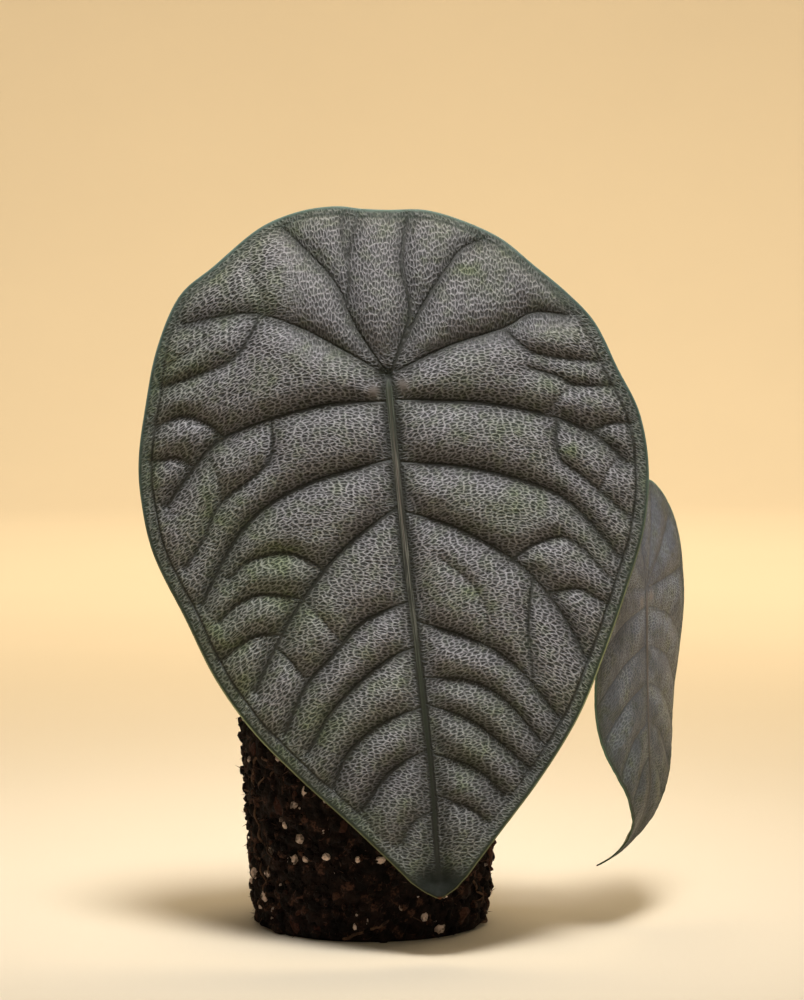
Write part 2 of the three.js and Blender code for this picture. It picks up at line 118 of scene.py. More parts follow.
# Vein ranks: how far from the vein its groove reaches, how deep it is as a share of the puff between
# veins, half the width of its flat floor, half the width of the smooth line along it, and how strongly
# that line shows.
RANKS = {
    "midrib": {"reach": 8, "depth": 1, "floor": 1.5, "line": 1.1, "strength": 1},
    "main": {"reach": 8, "depth": 1, "floor": 0.5, "line": 0.3, "strength": 1},
    "branch": {"reach": 6, "depth": 0.75, "floor": 0.3, "line": 0.2, "strength": 0.8},
    "faint": {"reach": 4, "depth": 0.4, "floor": 0.1, "line": 0.1, "strength": 0.4},
}

# The large blade, flat, seen from its upper face: the petiole joins at 0, 0 and the tip points to -y.
FRONT_OUTLINE = [
    (4.5, 46.5), (14.5, 45.5), (24.5, 41.5), (34.5, 35.5), (42.5, 27.5), (51, 19), (58, 10), (63, -3),
    (68, -16), (69, -31.5), (66, -47.5), (59.5, -63.5), (51.5, -80.5), (42.5, -97), (30.5, -112.5), (18, -126),
    (8, -137), (4.5, -142), (0, -146), (-4, -142), (-10, -134), (-22.5, -119.5), (-35, -106), (-46.5, -92),
    (-55.5, -76.5), (-62, -59.5), (-69, -41.5), (-71, -26.5), (-70.5, -14.5), (-67, 0), (-62.5, 14.5),
    (-55, 28.5), (-44.5, 36), (-31.5, 45), (-20.5, 48.5), (-10, 49), (-2.5, 47.5),
]
FRONT_VEINS = [
    ("midrib", (0, 0), (0, -33), (0.5, -71), (1, -109.5), (0, -139)),
    # the five that fan up from the petiole, with their forks
    ("main", (-0.5, 1.5), (-7.5, 14.5), (-12, 27.5), (-20.5, 39), (-25, 44.5)),
    ("branch", (-9, 21.5), (-7.5, 30), (-8.3, 40), (-8, 47)),
    ("branch", (-7.5, 34), (-5.5, 40), (-3.5, 46)),
    ("main", (1, 1.5), (6.5, 13), (8, 19.5), (7, 31), (10, 44.5)),
    ("main", (3.5, 6.5), (12, 19.5), (20, 29.5), (24, 33.5), (29.5, 35.5)),
    ("main", (2.5, 1.5), (17.5, 7), (33, 10.5), (41, 14), (50.5, 12.5)),
    ("branch", (33, 10), (38.5, 4), (47.5, 1), (58.5, -1)),
    ("main", (-1.5, 1.5), (-12, 9), (-23.5, 16.5), (-36.5, 21.5), (-54.5, 20.5)),
    ("branch", (-33.5, 19.5), (-39.5, 11), (-46.5, 7.5), (-62, 4)),
    ("faint", (-49, 20.5), (-49.5, 15), (-60, 9.5)),
    ("faint", (-32, 20), (-32, 24.5), (-35, 34)),
    # left of the midrib, from the petiole down to the tip
    ("main", (-1, -6.5), (-16.5, -5.5), (-33, -8), (-46, -11.5), (-54, -17.5), (-64, -28.5)),
    ("branch", (-46.5, -11.5), (-50, -7.5), (-57, -4.5), (-64.5, -6.5)),
    ("branch", (-56, -18.5), (-60, -15.5), (-67.5, -16)),
    ("branch", (-32.5, -8.5), (-34.5, -19.5), (-48.5, -29), (-54.5, -38.5), (-60.5, -46)),
    ("faint", (-51.5, -16), (-49, -23), (-48.5, -29)),
    ("main", (-1, -22), (-21.5, -25.5), (-36.5, -31.5), (-47, -41), (-57, -56.5)),
    ("main", (0, -34.5), (-16, -44.5), (-29, -57.5), (-38.5, -71), (-44.5, -81.5)),
    ("branch", (-22.5, -50), (-31.5, -44.5), (-42, -45.5), (-48.5, -50)),
    ("branch", (-29.5, -57.5), (-39, -55), (-46, -56.5), (-52.5, -61.5)),
    ("branch", (-35.5, -67), (-43, -66), (-52.5, -71.5)),
    ("main", (-0.5, -61), (-13, -65), (-23.5, -74.5), (-30.5, -81), (-37.5, -93.5)),
    ("branch", (-38, -70), (-34, -74), (-30.5, -79)),
    ("faint", (-29, -58), (-24, -64), (-19.5, -70.5)),
    ("main", (0, -73.5), (-8.5, -76.5), (-22.5, -87), (-31.5, -99)),
    ("main", (0.5, -90), (-10.5, -93), (-20.5, -100), (-26, -109.5)),
    ("main", (1, -101.5), (-10, -106.5), (-19, -117)),
    ("branch", (1, -118.5), (-5, -121), (-9, -126.5)),
    # right of the midrib, from the petiole down to the tip
    ("main", (0, -6), (24, -9), (43, -14.5), (54.5, -20.5), (63, -29)),
    ("branch", (54, -20), (59, -18), (65.5, -18.5)),
    ("faint", (42, -14), (46, -9.5), (50.5, -6.5)),
    ("branch", (38.5, -1), (46, -4), (50.5, -6.5), (61, -8)),
    ("main", (0.5, -23), (18.5, -26), (35.5, -32), (46.5, -39), (58, -54.5)),
    ("branch", (44.5, -15.5), (44, -25.5), (50.5, -32), (62, -44)),
    ("faint", (60.5, -28), (57.5, -31), (55.5, -35)),
    ("main", (0.5, -36.5), (14, -42), (30, -53.5), (40, -67), (46, -81)),
    ("branch", (28.5, -52.5), (36, -48.5), (45, -48.5), (55, -60)),
    ("branch", (37.5, -62.5), (46, -62), (53, -67)),
    ("faint", (9.5, -50.5), (16.5, -57.5), (20, -65.5), (19.5, -73)),
    ("branch", (34, -58), (31.5, -70.5), (31.5, -84)),
    ("main", (1, -66.5), (15, -72.5), (26, -80.5), (37, -96.5)),
    ("main", (2, -82), (14, -84), (23, -90.5), (31.5, -102.5)),
    ("main", (2, -89.5), (14, -95.5), (28, -110)),
    ("main", (2, -103), (13, -108), (20, -116)),
    ("branch", (2, -114.5), (10.5, -118.5), (14.5, -122.5)),
]

# The smaller, older blade is regular: half an outline, and the ends of the veins on one side.
SIDE_HALF_OUTLINE = [
    (10, 30.5), (20, 25), (28, 16.5), (33, 4), (35, -10), (34.5, -22), (31, -36), (25.5, -47), (17, -57),
    (9, -65.5), (4.2, -72), (1.8, -78),
]
SIDE_TOP = (0, 31.5)
SIDE_TIP = (0, -86)
SIDE_LATERALS = [
    (1, (8, 28)), (1, (22, 20)), (0, (32, 4)), (-5, (33, -16)), (-16, (32, -30)), (-27, (28, -41)),
    (-38, (20, -52)), (-48, (12, -60)),
]

# Fresher patches on the large blade: place on the plan, spread along and across, and strength
FRESH_PATCHES = [
    (24, 27, 3.5, 2.2, 0.75), (47, -24, 2.5, 1.8, 0.8), (17, -60, 4, 2.4, 0.75), (22, -64, 2, 2, 0.8),
    (-58, 8, 9, 8, 0.6), (-38, -48, 16, 9, 0.6), (-33, -62, 12, 10, 0.5), (-26, -92, 14, 10, 0.5),
    (-52, -66, 8, 14, 0.6), (30, -40, 9, 5, 0.45), (10, -104, 10, 12, 0.35), (34, 30, 8, 5, 0.3),
    (-30, 28, 6, 5, 0.35), (20, -92, 10, 8, 0.35), (30, -16, 5, 3, 0.5), (-50, -30, 7, 12, 0.5),
]

# How each blade is held, puffed and bent. Its patches are the list of fresher ones.
FRONT_BLADE = {
    "attachment": (5.2, -60, 159.5),
    "turn": 0,
    "backward_tilt": 4,
    "roll": 5.7,
    "cells": 216,
    "centre": (0, -42),
    "joint_relief": 1,
    "dry_tip": (0, -146.6),
    "tip_reach": 19,
    "puff": 4.1,
    "margin": {
        "inset": 3.4, "upper_inset": 1.9, "upper_at": 25, "reach": 6, "depth": 0.6, "fades": (100, 138),
    },
    "pales": (-85, -10),
    "greens": (112, 136),
    "patches": FRESH_PATCHES,
    "droop": {
        "side": 17, "half_width": 70, "fold": 0, "top": 13, "top_length": 46, "tip": 9, "tip_length": 140,
    },
    "curl": {"start": -137, "radius": 25},
}
SIDE_BLADE = {
    "attachment": (79.7, -12, 97.5),
    "turn": 66,
    "backward_tilt": 0,
    "roll": 0,
    "cells": 150,
    "centre": (0, -30),
    "joint_relief": 0.15,
    "dry_tip": (0, -86.5),
    "tip_reach": 11,
    "puff": 1.1,
    "margin": {
        "inset": 2.2, "upper_inset": 1.8, "upper_at": 25, "reach": 5, "depth": 0.6, "fades": (30, 60),
    },
    "pales": (-75, 5),
    "greens": (0, 80),
    "patches": [],
    "droop": {
        "side": 0.9, "half_width": 35, "fold": 4.9, "top": 2, "top_length": 29, "tip": -1, "tip_length": 44,
    },
    "curl": {"start": -54, "radius": 28},
}

# Slow unevenness of a blade: wavelength, seed, and share of the height
UNEVEN_WAVES = [(6, 4, 1), (2.6, 9, 0.5)]
EDGE_WAVELENGTH, EDGE_SEED, PANEL_SEED = 24, 21, 3

# Lumps on the plug: smallest and largest size, flatness, seed, share on the top, how far they are sunk in,
# and faces around and along each
CRUMB_SEED, ROOTLET_SEED, FIBRE_SEED = 17, 29, 53
GRAINS = {
    "loose_crumbs": {
        "sizes": (0.5, 1.7), "flatness": 0.8, "seed": 61, "top_share": 0.2, "sunk": 0, "faces": (6, 4),
    },
    "perlite_grains": {
        "sizes": (0.35, 1.7), "flatness": 0.8, "seed": 5, "top_share": 0.3, "sunk": 0.3, "faces": (8, 6),
    },
    "bark_chips": {
        "sizes": (1.2, 3.2), "flatness": 0.35, "seed": 8, "top_share": 0.35, "sunk": 0.2, "faces": (8, 6),
    },
}


# Lines and distances on the plan, in numpy


def curve(start, end, leaving, arriving, share):
    """A place on the cubic from start to end that leaves and arrives in the given ways."""
    cubic = (2 * start - 2 * end + leaving + arriving) * share**3
    square = (3 * end - 3 * start - 2 * leaving - arriving) * share**2
    return cubic + square + leaving * share + start


def smooth_line(stops, steps=6):
    """The even curve through the stops, with the same number of steps between each two of them."""
    stops = np.array(stops, float)
    share = np.linspace(0, 1, steps, endpoint=False)[:, None]
    pieces = []
    for i in range(len(stops) - 1):
        start, end = stops[i], stops[i + 1]
        leaving = (end - stops[max(i - 1, 0)]) / 2
        arriving = (stops[min(i + 2, len(stops) - 1)] - start) / 2
        pieces.append(curve(start, end, leaving, arriving, share))
    return np.vstack([*pieces, stops[-1:]])


def outline_loop(outline):
    """A closed line that starts and ends at the outline's lowest point, so that the tip is kept."""
    tip = min(range(len(outline)), key=lambda i: outline[i][1])
    return smooth_line(outline[tip:] + outline[: tip + 1])


def nearest(points, line):
    """How far each point lies from the line, how far along the line that is, 0 to 1, and on which side of
    it, 1 or -1."""
    distance = np.full(len(points), np.inf)
    along = np.zeros(len(points))
    side = np.ones(len(points))
    walked = 0
    for start, end in zip(line, line[1:]):
        span = end - start
        length = math.hypot(*span)
        offset = points - start
        share = np.clip(offset @ span / length**2, 0, 1)
        offset = offset - share[:, None] * span
        found = np.hypot(*offset.T)
        closer = found < distance
        distance[closer] = found[closer]
        along[closer] = walked + share[closer] * length
        side[closer] = np.sign(span[0] * offset[closer, 1] - span[1] * offset[closer, 0])
        walked += length
    return distance, along / walked, side


def lerp(low, high, share):
    return low + (high - low) * share


def ease(value, low, high):
    """0 below low, 1 above high, and a smooth step between them."""
    share = np.clip((value - low) / (high - low), 0, 1)
    return share * share * (3 - 2 * share)


def unit(vectors):
    return vectors / np.linalg.norm(vectors, axis=-1, keepdims=True)


def hump(distance):
    """1 where the distance is 0, falling off smoothly on both sides."""
    return np.exp(-(distance**2))


def round_hump(plan, place, radius):
    return hump(np.hypot(*(plan - place).T) / radius)


def side_veins():
    """Laterals leave the midrib nearly square to it and then sweep towards the tip, or fan up above it."""
    veins = [("midrib", (0, 0), (0, -40), (0, -72))]
    for side in (1, -1):
        for start, (x, y) in SIDE_LATERALS:
            bend = (side * x * 0.55, start + (y - start) * (0.5 if y > 0 else 0.32))
            veins.append(("main", (side * 0.6, start), bend, (side * x, y)))
    return veins


def side_outline():
    left = [(-x, y) for x, y in reversed(SIDE_HALF_OUTLINE)]
    return [SIDE_TOP, *SIDE_HALF_OUTLINE, SIDE_TIP, *left]


def hashed(cells, seed):
    """A repeatable number from 0 to 1 for each row of whole numbers."""
    mixed = np.sin(cells @ np.array([12.9898, 78.233]) + seed * 37.719) * 43758.5453
    return mixed - np.floor(mixed)


def pillows(points, cell, seed):
    """0 on the borders of an uneven pattern of cells, and rising to 1 in the middle of each."""
    scaled = points / cell
    home = np.floor(scaled)
    found = []
    for dx in (-1, 0, 1):
        for dy in (-1, 0, 1):
            corner = home + (dx, dy)
            jitter = np.stack([hashed(corner, seed), hashed(corner, seed + 1)], 1)
            found.append(np.hypot(*(corner + jitter - scaled).T))
    ordered = np.sort(np.array(found), axis=0)
    return ease(ordered[1] - ordered[0], 0, 0.6)


def unevenness(points, wavelength, seed):
    return np.array([noise.noise(Vector((x / wavelength, y / wavelength, seed))) for x, y in points])


# Blades


def read_relief(shape, outline, veins, plan, look):
    """What the blade is like at each point of its plan: the ribs on its back, and the fields that its
    finish reads."""
    x, y = plan.T
    margin, droop = shape["margin"], shape["droop"]
    rim = nearest(plan, outline_loop(outline))[0]
    from_inset = rim - lerp(margin["inset"], margin["upper_inset"], ease(y, 0, margin["upper_at"]))
    near_tip = ease(-y, *margin["fades"])
    share = np.clip(1 - np.maximum(0, from_inset) / margin["reach"], 0, 1)
    flat_margin = 1 - margin["depth"] * share**2 * lerp(1, 0.35, near_tip)
    mark = lerp(0.6, 1, ease(-y, -20, 20)) * (1 - near_tip)
    line = 0.8 * mark * (1 - ease(np.abs(from_inset), 0.1, 0.7))
    beside, across = np.abs(from_inset), from_inset
    crown, ribs = np.ones(len(plan)), np.zeros(len(plan))
    for rank, *stops in veins:
        reach, depth, floor, width, strength = RANKS[rank].values()
        distance, along, side = nearest(plan, smooth_line(stops))
        share = np.clip(1 - np.maximum(0, distance - floor) / reach, 0, 1)
        crown = crown * (1 - depth * share**2)
        if rank == "midrib":
            midrib_along = along
            ribbon = distance / lerp(*MIDRIB_WIDTHS, along) + 0.7 * ease(y, -3.5, 0.5)
        else:
            closer = distance < beside
            beside[closer] = distance[closer]
            # across is positive on the vein's upper side, where the finish paints the crease's shadow
            across[closer] = (side * distance * math.copysign(1, stops[-1][0] - stops[0][0]))[closer]
            mark[closer] = (strength * lerp(1, 0.6, along))[closer]
        width = lerp(width, width * 0.5, along)
        line = np.maximum(line, strength * (1 - ease(distance, width, width + 0.5)))
        ribs = np.maximum(ribs, depth * hump(distance / (0.9 + width)) * lerp(1, 0.45, along))
    return {
        "net": net_places(droop["half_width"], plan, look.net_stretch),
        "fan": ease(x, *FAN["left"]) * (1 - ease(x, *FAN["right"])) * ease(y, *FAN["above"]),
        "vein": line,
        "rim": rim,
        "high": ease(y, *shape["pales"]),
        "ribbon": ribbon,
        "midrib_along": midrib_along,
        "crown": flat_margin * lerp(1, crown, lerp(0.2, 1, ease(rim, 0, 4))),
        "beside": beside,
        "across": across,
        "mark": mark,
        "knob": sum(round_hump(plan, place, JOINT["knob_radius"]) for place in JOINT["knobs"]),
        "pit": round_hump(plan, JOINT["pit"], JOINT["pit_radius"]),
        "plan": plan,
        "fresh": freshness(shape, plan, rim),
        "tip": np.clip(1 - np.hypot(*(plan - shape["dry_tip"]).T) / shape["tip_reach"], 0, 1),
        "ribs": ribs,
    }


def net_places(half_width, plan, stretch):
    """Places on the fine net. Its meshes are drawn out away from the midrib, and slant more and more
    towards the tip on their way to the rim."""
    x, y = plan.T
    reach = half_width * lerp(0.9, 0.45, ease(-y / half_width, 0.6, 2))
    shares = np.linspace(0, 3, 301)
    slopes = np.tan(np.radians(lerp(*NET_SLANTS, ease(shares, 0.1, 0.8))))
    slide = np.cumsum(slopes) * shares[1]
    return np.column_stack([x / stretch, y + reach * np.interp(np.abs(x) / reach, shares, slide)])


def freshness(shape, plan, rim):
    """Where the blade is greener: along its margin, towards its tip and in its patches."""
    x, y = plan.T
    margin = lerp(0.5, 0.25, ease(x, -30, 20)) * (1 - ease(rim, 1, 9))
    fresh = np.maximum(margin, 0.5 * ease(-y, *shape["greens"]))
    for px, py, wide, tall, strength in shape["patches"]:
        spot = np.exp(-(((x - px) / wide) ** 2) - ((y - py) / tall) ** 2)
        fresh = fresh + strength * spot * (1 - fresh)
    return fresh


def bend_sheet(shape, plan, height):
    """Points of the bent sheet that the blade follows. Sides, top and tip bend back, and the stretch past
    the curl's start turns back on an arc."""
    droop, curl = shape["droop"], shape["curl"]
    x, y = plan.T
    top = droop["top"] * (np.maximum(0, y) / droop["top_length"]) ** 2
    tip = droop["tip"] * (np.maximum(np.minimum(0, y), curl["start"]) / droop["tip_length"]) ** 2
    fold = 1 + droop["fold"] * ease(-y, 0, droop["tip_length"])
    side = droop["side"] * fold * (x / droop["half_width"]) ** 2
    level = height - top - tip - side
    past = np.maximum(0, curl["start"] - y) / curl["radius"]
    lift = curl["radius"] + level
    curled = past > 0
    along = np.where(curled, curl["start"] - lift * np.sin(past), y)
    out = np.where(curled, lift * np.cos(past) - curl["radius"], level)
    return np.stack([x, along, out], 1)


def sheet_normals(shape, plan):
    across, along = (
        bend_sheet(shape, plan + step, 0) - bend_sheet(shape, plan - step, 0)
        for step in (np.array([0.5, 0]), np.array([0, 0.5]))
    )
    return unit(np.cross(across, along))


def fill_outline(square, outline, centre):
    """Moves the points of a square grid out to fill the outline, along rays from its centre."""
    edge = outline_loop(outline) - centre
    angles, order = np.unique(np.arctan2(edge[:, 1], edge[:, 0]), return_index=True)
    radii = np.hypot(*edge.T)[order]
    x, y = square.T
    disc = np.stack([x * np.sqrt(1 - y * y / 2), y * np.sqrt(1 - x * x / 2)], 1)
    limit = np.interp(np.arctan2(disc[:, 1], disc[:, 0]), angles, radii, period=FULL_TURN)
    return centre + disc * lerp(np.median(radii), limit, ease(np.hypot(*disc.T), 0, 1))[:, None]


def build_blade(name, node, shape, outline, veins, look):
    """One blade as a thin closed shell: quilted above, ribbed below, and thin at its rim."""
    bm = bmesh.new()
    bmesh.ops.create_grid(bm, x_segments=shape["cells"], y_segments=shape["cells"], size=1)
    square = np.array([vert.co.xy for vert in bm.verts])
    plan = fill_outline(square, outline, np.array(shape["centre"], float))
    fields = read_relief(shape, outline, veins, plan, look)
    ribs = fields.pop("ribs")
    rim, crown, ribbon = fields["rim"], fields["crown"], fields["ribbon"]
    row = bm.verts.layers.int.new("row")
    for index, vert in enumerate(bm.verts):
        vert[row] = index
    made = bmesh.ops.extrude_face_region(bm, geom=bm.faces[:], use_keep_orig=True)
    below = {vert for vert in made["geom"] if isinstance(vert, bmesh.types.BMVert)}
    rows = np.array([vert[row] for vert in bm.verts])
    under = np.array([vert in below for vert in bm.verts])

    sunk = shape["puff"] * (1 - crown) * lerp(1, 0.75, ease(plan[:, 1], 0, 30))
    panel = pillows(fields["net"], look.panel_cell, PANEL_SEED) * crown
    rough = sum(share * unevenness(plan, wavelength, seed) for wavelength, seed, share in UNEVEN_WAVES)
    wave = unevenness(plan, EDGE_WAVELENGTH, EDGE_SEED) * (1 - ease(rim, 0, 14))
    height = -sunk + look.panel_height * panel + look.roughness_height * rough * crown
    raised_midrib = 0.45 * np.clip(1 - ribbon**2, 0, 1) * lerp(1, 0.1, fields["midrib_along"])
    height += raised_midrib + look.edge_wave * wave
    height += shape["joint_relief"] * (fields["knob"] - 0.9 * fields["pit"])
    upper = bend_sheet(shape, plan, height)
    inside = ease(rim, 0, look.rim_width)
    joint = JOINT["height"] * round_hump(plan, (0, 0), JOINT["radius"])
    depth = lerp(look.rim_thickness, look.thickness, inside) + joint + look.rib_height * ribs * inside
    lower = upper - sheet_normals(shape, plan) * depth[:, None]

    turn, lean, roll = (
        Matrix.Rotation(math.radians(angle), 4, axis)
        for angle, axis in ((shape["turn"], "Z"), (90 - shape["backward_tilt"], "X"), (shape["roll"], "Z"))
    )
    matrix = Matrix.Translation(shape["attachment"]) @ turn @ lean @ roll
    for vert, place in zip(bm.verts, np.where(under[:, None], lower[rows], upper[rows])):
        vert.co = matrix @ Vector(place) * MM
    for face in bm.faces:
        face.material_index = int(all(vert in below for vert in face.verts))
    bmesh.ops.recalc_face_normals(bm, faces=bm.faces)
    bm.verts.layers.int.remove(row)
    finishes = [blade_finish(name + "_upper", look), underside_finish(name + "_lower", look)]
    finished_piece(bm, name, finishes, [node], {key: values[rows] for key, values in fields.items()})


# Mesh helpers


def wrapped_grids(count, around, along, place):
    """A grid cut into strips, each rolled into a closed skin: place gives the points for the strips' numbers
    and for the turn and length shares, both 0 to 1. A row whose points fall together closes in a pole."""
    bm = bmesh.new()
    columns = count * (around + 1) - 1
    bmesh.ops.create_grid(bm, x_segments=columns, y_segments=along, size=0.5)
    shares = np.array([vert.co.xy for vert in bm.verts]) + 0.5
    column = np.round(shares[:, 0] * columns).astype(int)
    strip, turn = column // (around + 1), (column % (around + 1)) / around
    places = place(strip, turn, np.round(shares[:, 1] * along) / along)
    strips = strip.tolist()
    joins = [face for face in bm.faces if len({strips[vert.index] for vert in face.verts}) > 1]
    for vert, point in zip(bm.verts, places * MM):
        vert.co = point
    bmesh.ops.delete(bm, geom=joins, context="FACES")
    bmesh.ops.remove_doubles(bm, verts=bm.verts, dist=WELD_DISTANCE)
    bmesh.ops.recalc_face_normals(bm, faces=bm.faces)
    return bm


def round_places(radius, angle, z):
    return np.stack([radius * np.cos(angle), radius * np.sin(angle), z], 1)


def lathe(profile, around, shape=round_places):
    """Turns a profile of radii and heights: shape gives the points for the radii, angles and heights."""
    profile = np.array(profile)

    def place(strip, turn, share):
        at = share * (len(profile) - 1)
        radius, z = (np.interp(at, np.arange(len(profile)), column) for column in profile.T)
        return shape(radius, turn * FULL_TURN, z)

    return wrapped_grids(1, around, len(profile) - 1, place)


def tree_of(points):
    tree = kdtree.KDTree(len(points))
    for index, point in enumerate(points):
        tree.insert(point, index)
    tree.balance()
    return tree


def add_object(bm, name, finishes, fields=None, smooth=True):
    """Makes an object of the mesh, with its fields and its finishes."""
    for face in bm.faces:
        face.smooth = smooth
    mesh = bpy.data.meshes.new(name)
    bm.to_mesh(mesh)
    bm.free()
    for field, values in (fields or {}).items():
        write_field(mesh, field, values)
    for finish in finishes:
        mesh.materials.append(finish)
    made = bpy.data.objects.new(name, mesh)
    bpy.context.scene.collection.objects.link(made)
    return made


def finished_piece(bm, name, finishes, nodes=(), fields=None, smooth=True):
    """Adds the piece and ties it to the plant."""
    piece = add_object(bm, name, finishes, fields, smooth)
    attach(piece, BODY)
    if nodes:
        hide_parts(*nodes)


def write_field(mesh, name, values):
    values = np.asarray(values, np.float32)
    if values.ndim == 1:
        mesh.attributes.new(name, "FLOAT", "POINT").data.foreach_set("value", values)
        return
    if values.shape[1] == 2:
        values = np.column_stack([values, np.zeros(len(values), np.float32)])
    mesh.attributes.new(name, "FLOAT_VECTOR", "POINT").data.foreach_set("vector", values.ravel())


# Petioles and stem


def petiole_frames(path, steps):
    """Even points along the curve through the path, with two directions square to it that never twist."""
    stops = [Vector(stop) for stop in path]
    stops = [2 * stops[0] - stops[1], *stops, 2 * stops[-1] - stops[-2]]
    fine = []
    for before, start, end, after in zip(stops, stops[1:], stops[2:], stops[3:]):
        gaps = [max((b - a).length ** 0.5, 1e-4) for a, b in ((before, start), (start, end), (end, after))]
        leaving = (start - before) / gaps[0] - (end - before) / (gaps[0] + gaps[1]) + (end - start) / gaps[1]
        arriving = (end - start) / gaps[1] - (after - start) / (gaps[1] + gaps[2]) + (after - end) / gaps[2]
        for share in np.linspace(0, 1, 40, endpoint=False):
            fine.append(curve(start, end, leaving * gaps[1], arriving * gaps[1], share))
    fine.append(stops[-2])
    fine = np.array(fine)
    walked = np.concatenate([[0], np.cumsum(np.linalg.norm(np.diff(fine, axis=0), axis=1))])
    shares = np.linspace(0, walked[-1], steps + 1)
    points = np.stack([np.interp(shares, walked, fine[:, axis]) for axis in range(3)], 1)
    tangents = unit(np.gradient(points, axis=0))
    least = np.zeros(3)
    least[np.abs(tangents[0]).argmin()] = 1
    normal = np.cross(tangents[0], unit(np.cross(tangents[0], least)))
    normals = []
    for tangent in tangents:
        normal = unit(normal - (normal @ tangent) * tangent)
        normals.append(normal)
    normals = np.array(normals)
    return points, normals, np.cross(tangents, normals), walked[-1]


def build_petiole(name, node, stalk, look, finish):
    """A petiole: a sheathing foot with a channel down its inner side, a slim round stalk, and a swelling
    below the blade."""
    steps = PETIOLE["steps"]
    points, normals, binormals, length = petiole_frames(stalk["path"], steps)
    groove = math.radians(stalk["groove"])
    swell, channel = PETIOLE["swell"], PETIOLE["channel"]
    base, apex = stalk["base_radius"], stalk["apex_radius"]

    def radius(share, angle):
        sheath = np.maximum(0, 1 - share / PETIOLE["sheath_end"])
        slim = lerp(apex * PETIOLE["taper"], apex, share) + (base - apex * PETIOLE["taper"]) * sheath
        swelling = swell["share"] * apex * hump((share - swell["at"]) / swell["length"])
        off = np.arctan2(np.sin(angle - groove), np.cos(angle - groove)) / channel["half_angle"]
        hollowing = channel["share"] * np.minimum(1, sheath * 3) * hump(off)
        lip = channel["lip"] * np.minimum(1, sheath * 3) * np.exp(-((np.abs(off) - 1.5) ** 2) * 4)
        ridges = look.ridge_share * np.sin(angle * PETIOLE["ridges"] + 2 * np.sin(share * 7))
        return (slim + swelling) * (1 - hollowing + lip + ridges)

    def place(strip, turn, share):
        # Both ends close to a point over the first and the last of the steps.
        end = np.minimum(share, 1 - share) * steps
        inner = np.clip((share * steps - 1) / (steps - 2), 0, 1)
        angle = turn * FULL_TURN
        at = inner * steps
        low = np.minimum(at.astype(int), steps - 1)
        part = (at - low)[:, None]
        spot, normal, binormal = (lerp(a[low], a[low + 1], part) for a in (points, normals, binormals))
        out = (radius(inner, angle) * np.where(end < 0.5, 0, 1))[:, None]
        return spot + binormal * np.cos(angle)[:, None] * out + normal * np.sin(angle)[:, None] * out

    bm = wrapped_grids(1, PETIOLE["sides"], steps, place)
    spots = np.array([vert.co for vert in bm.verts]) / MM
    tree = tree_of(points)
    found = [tree.find(spot)[1] for spot in spots]
    offset = spots - points[found]
    turn = np.arctan2((offset * normals[found]).sum(1), (offset * binormals[found]).sum(1))
    along = np.array(found) / steps
    skin = np.column_stack([np.cos(turn) * 2.5, np.sin(turn) * 2.5, along * length * 0.12])
    finished_piece(bm, name, [finish], [node], {"along": along, "skin": skin})


def build_stem(finish):
    """The short upright stem, ringed by the scars of old leaves and rounded at its crown."""
    profile = [(0, STEM["bottom"]), (STEM["foot_radius"] - 2, STEM["bottom"])]
    span = STEM["top"] - STEM["crown"] - STEM["bottom"]
    for row in range(STEM["rows"] + 1):
        share = row / STEM["rows"]
        swell = lerp(STEM["foot_radius"], STEM["radius"], min(1, share * 3))
        ring = abs(math.sin(share * math.pi * STEM["rings"])) ** 0.5
        profile.append((swell - STEM["scar"] * (1 - ring), STEM["bottom"] + span * share))
    for angle in np.linspace(0.15, 1, 10) * math.pi / 2:
        profile.append((STEM["radius"] * math.cos(angle), STEM["top"] - STEM["crown"] * (1 - math.sin(angle))))

    def shape(radius, angle, z):
        slant = 0.9 * np.sin(angle + z * 0.5) * (radius > 1) * ease(z, STEM["bottom"], STEM["bottom"] + 6)
        rough = 1 + 0.035 * np.sin(angle * 3 + z * 0.35) + 0.02 * np.sin(angle * 8 - z * 0.9)
        return round_places(radius * rough, angle, z + slant * 0.5)

    finished_piece(lathe(profile, LATHE_SIDES, shape), "scarred_stem", [finish], ["stem"])


# Root ball


def plug_radius(z):
    return lerp(ROOT_BALL["base_radius"], ROOT_BALL["top_radius"], z / ROOT_BALL["height"])


def soil_level(x, y):
    heave = ROOT_BALL["heave"]
    mound = np.sin(x * heave["across_x"] + 1) * np.sin(y * heave["across_y"])
    return ROOT_BALL["height"] + heave["height"] * mound


def plug_profile(look):
    """Radius and height along the plug's skin, from the middle of its base to the middle of its top, at
    steps about as long as the skin's grid is wide."""
    base, top, height, edge, bevel = (
        ROOT_BALL[key] for key in ("base_radius", "top_radius", "height", "edge_round", "foot_bevel")
    )
    stops = [(0, 0), (base - bevel, 0), (base, bevel), (top, height - edge)]
    for angle in np.linspace(0.2, 1, 5) * math.pi / 2:
        stops.append((top - edge * (1 - math.cos(angle)), height - edge * (1 - math.sin(angle))))
    stops = np.array([*stops, (0, height)])
    lengths = np.linalg.norm(np.diff(stops, axis=0), axis=1)
    steps = np.maximum(1, np.round(lengths / look.skin_grid)).astype(int)
    steps[0] = ROOT_BALL["base_rows"]
    rows = [lerp(stops[i], stops[i + 1], s / n) for i, n in enumerate(steps) for s in range(n)]
    return [*rows, stops[-1]]


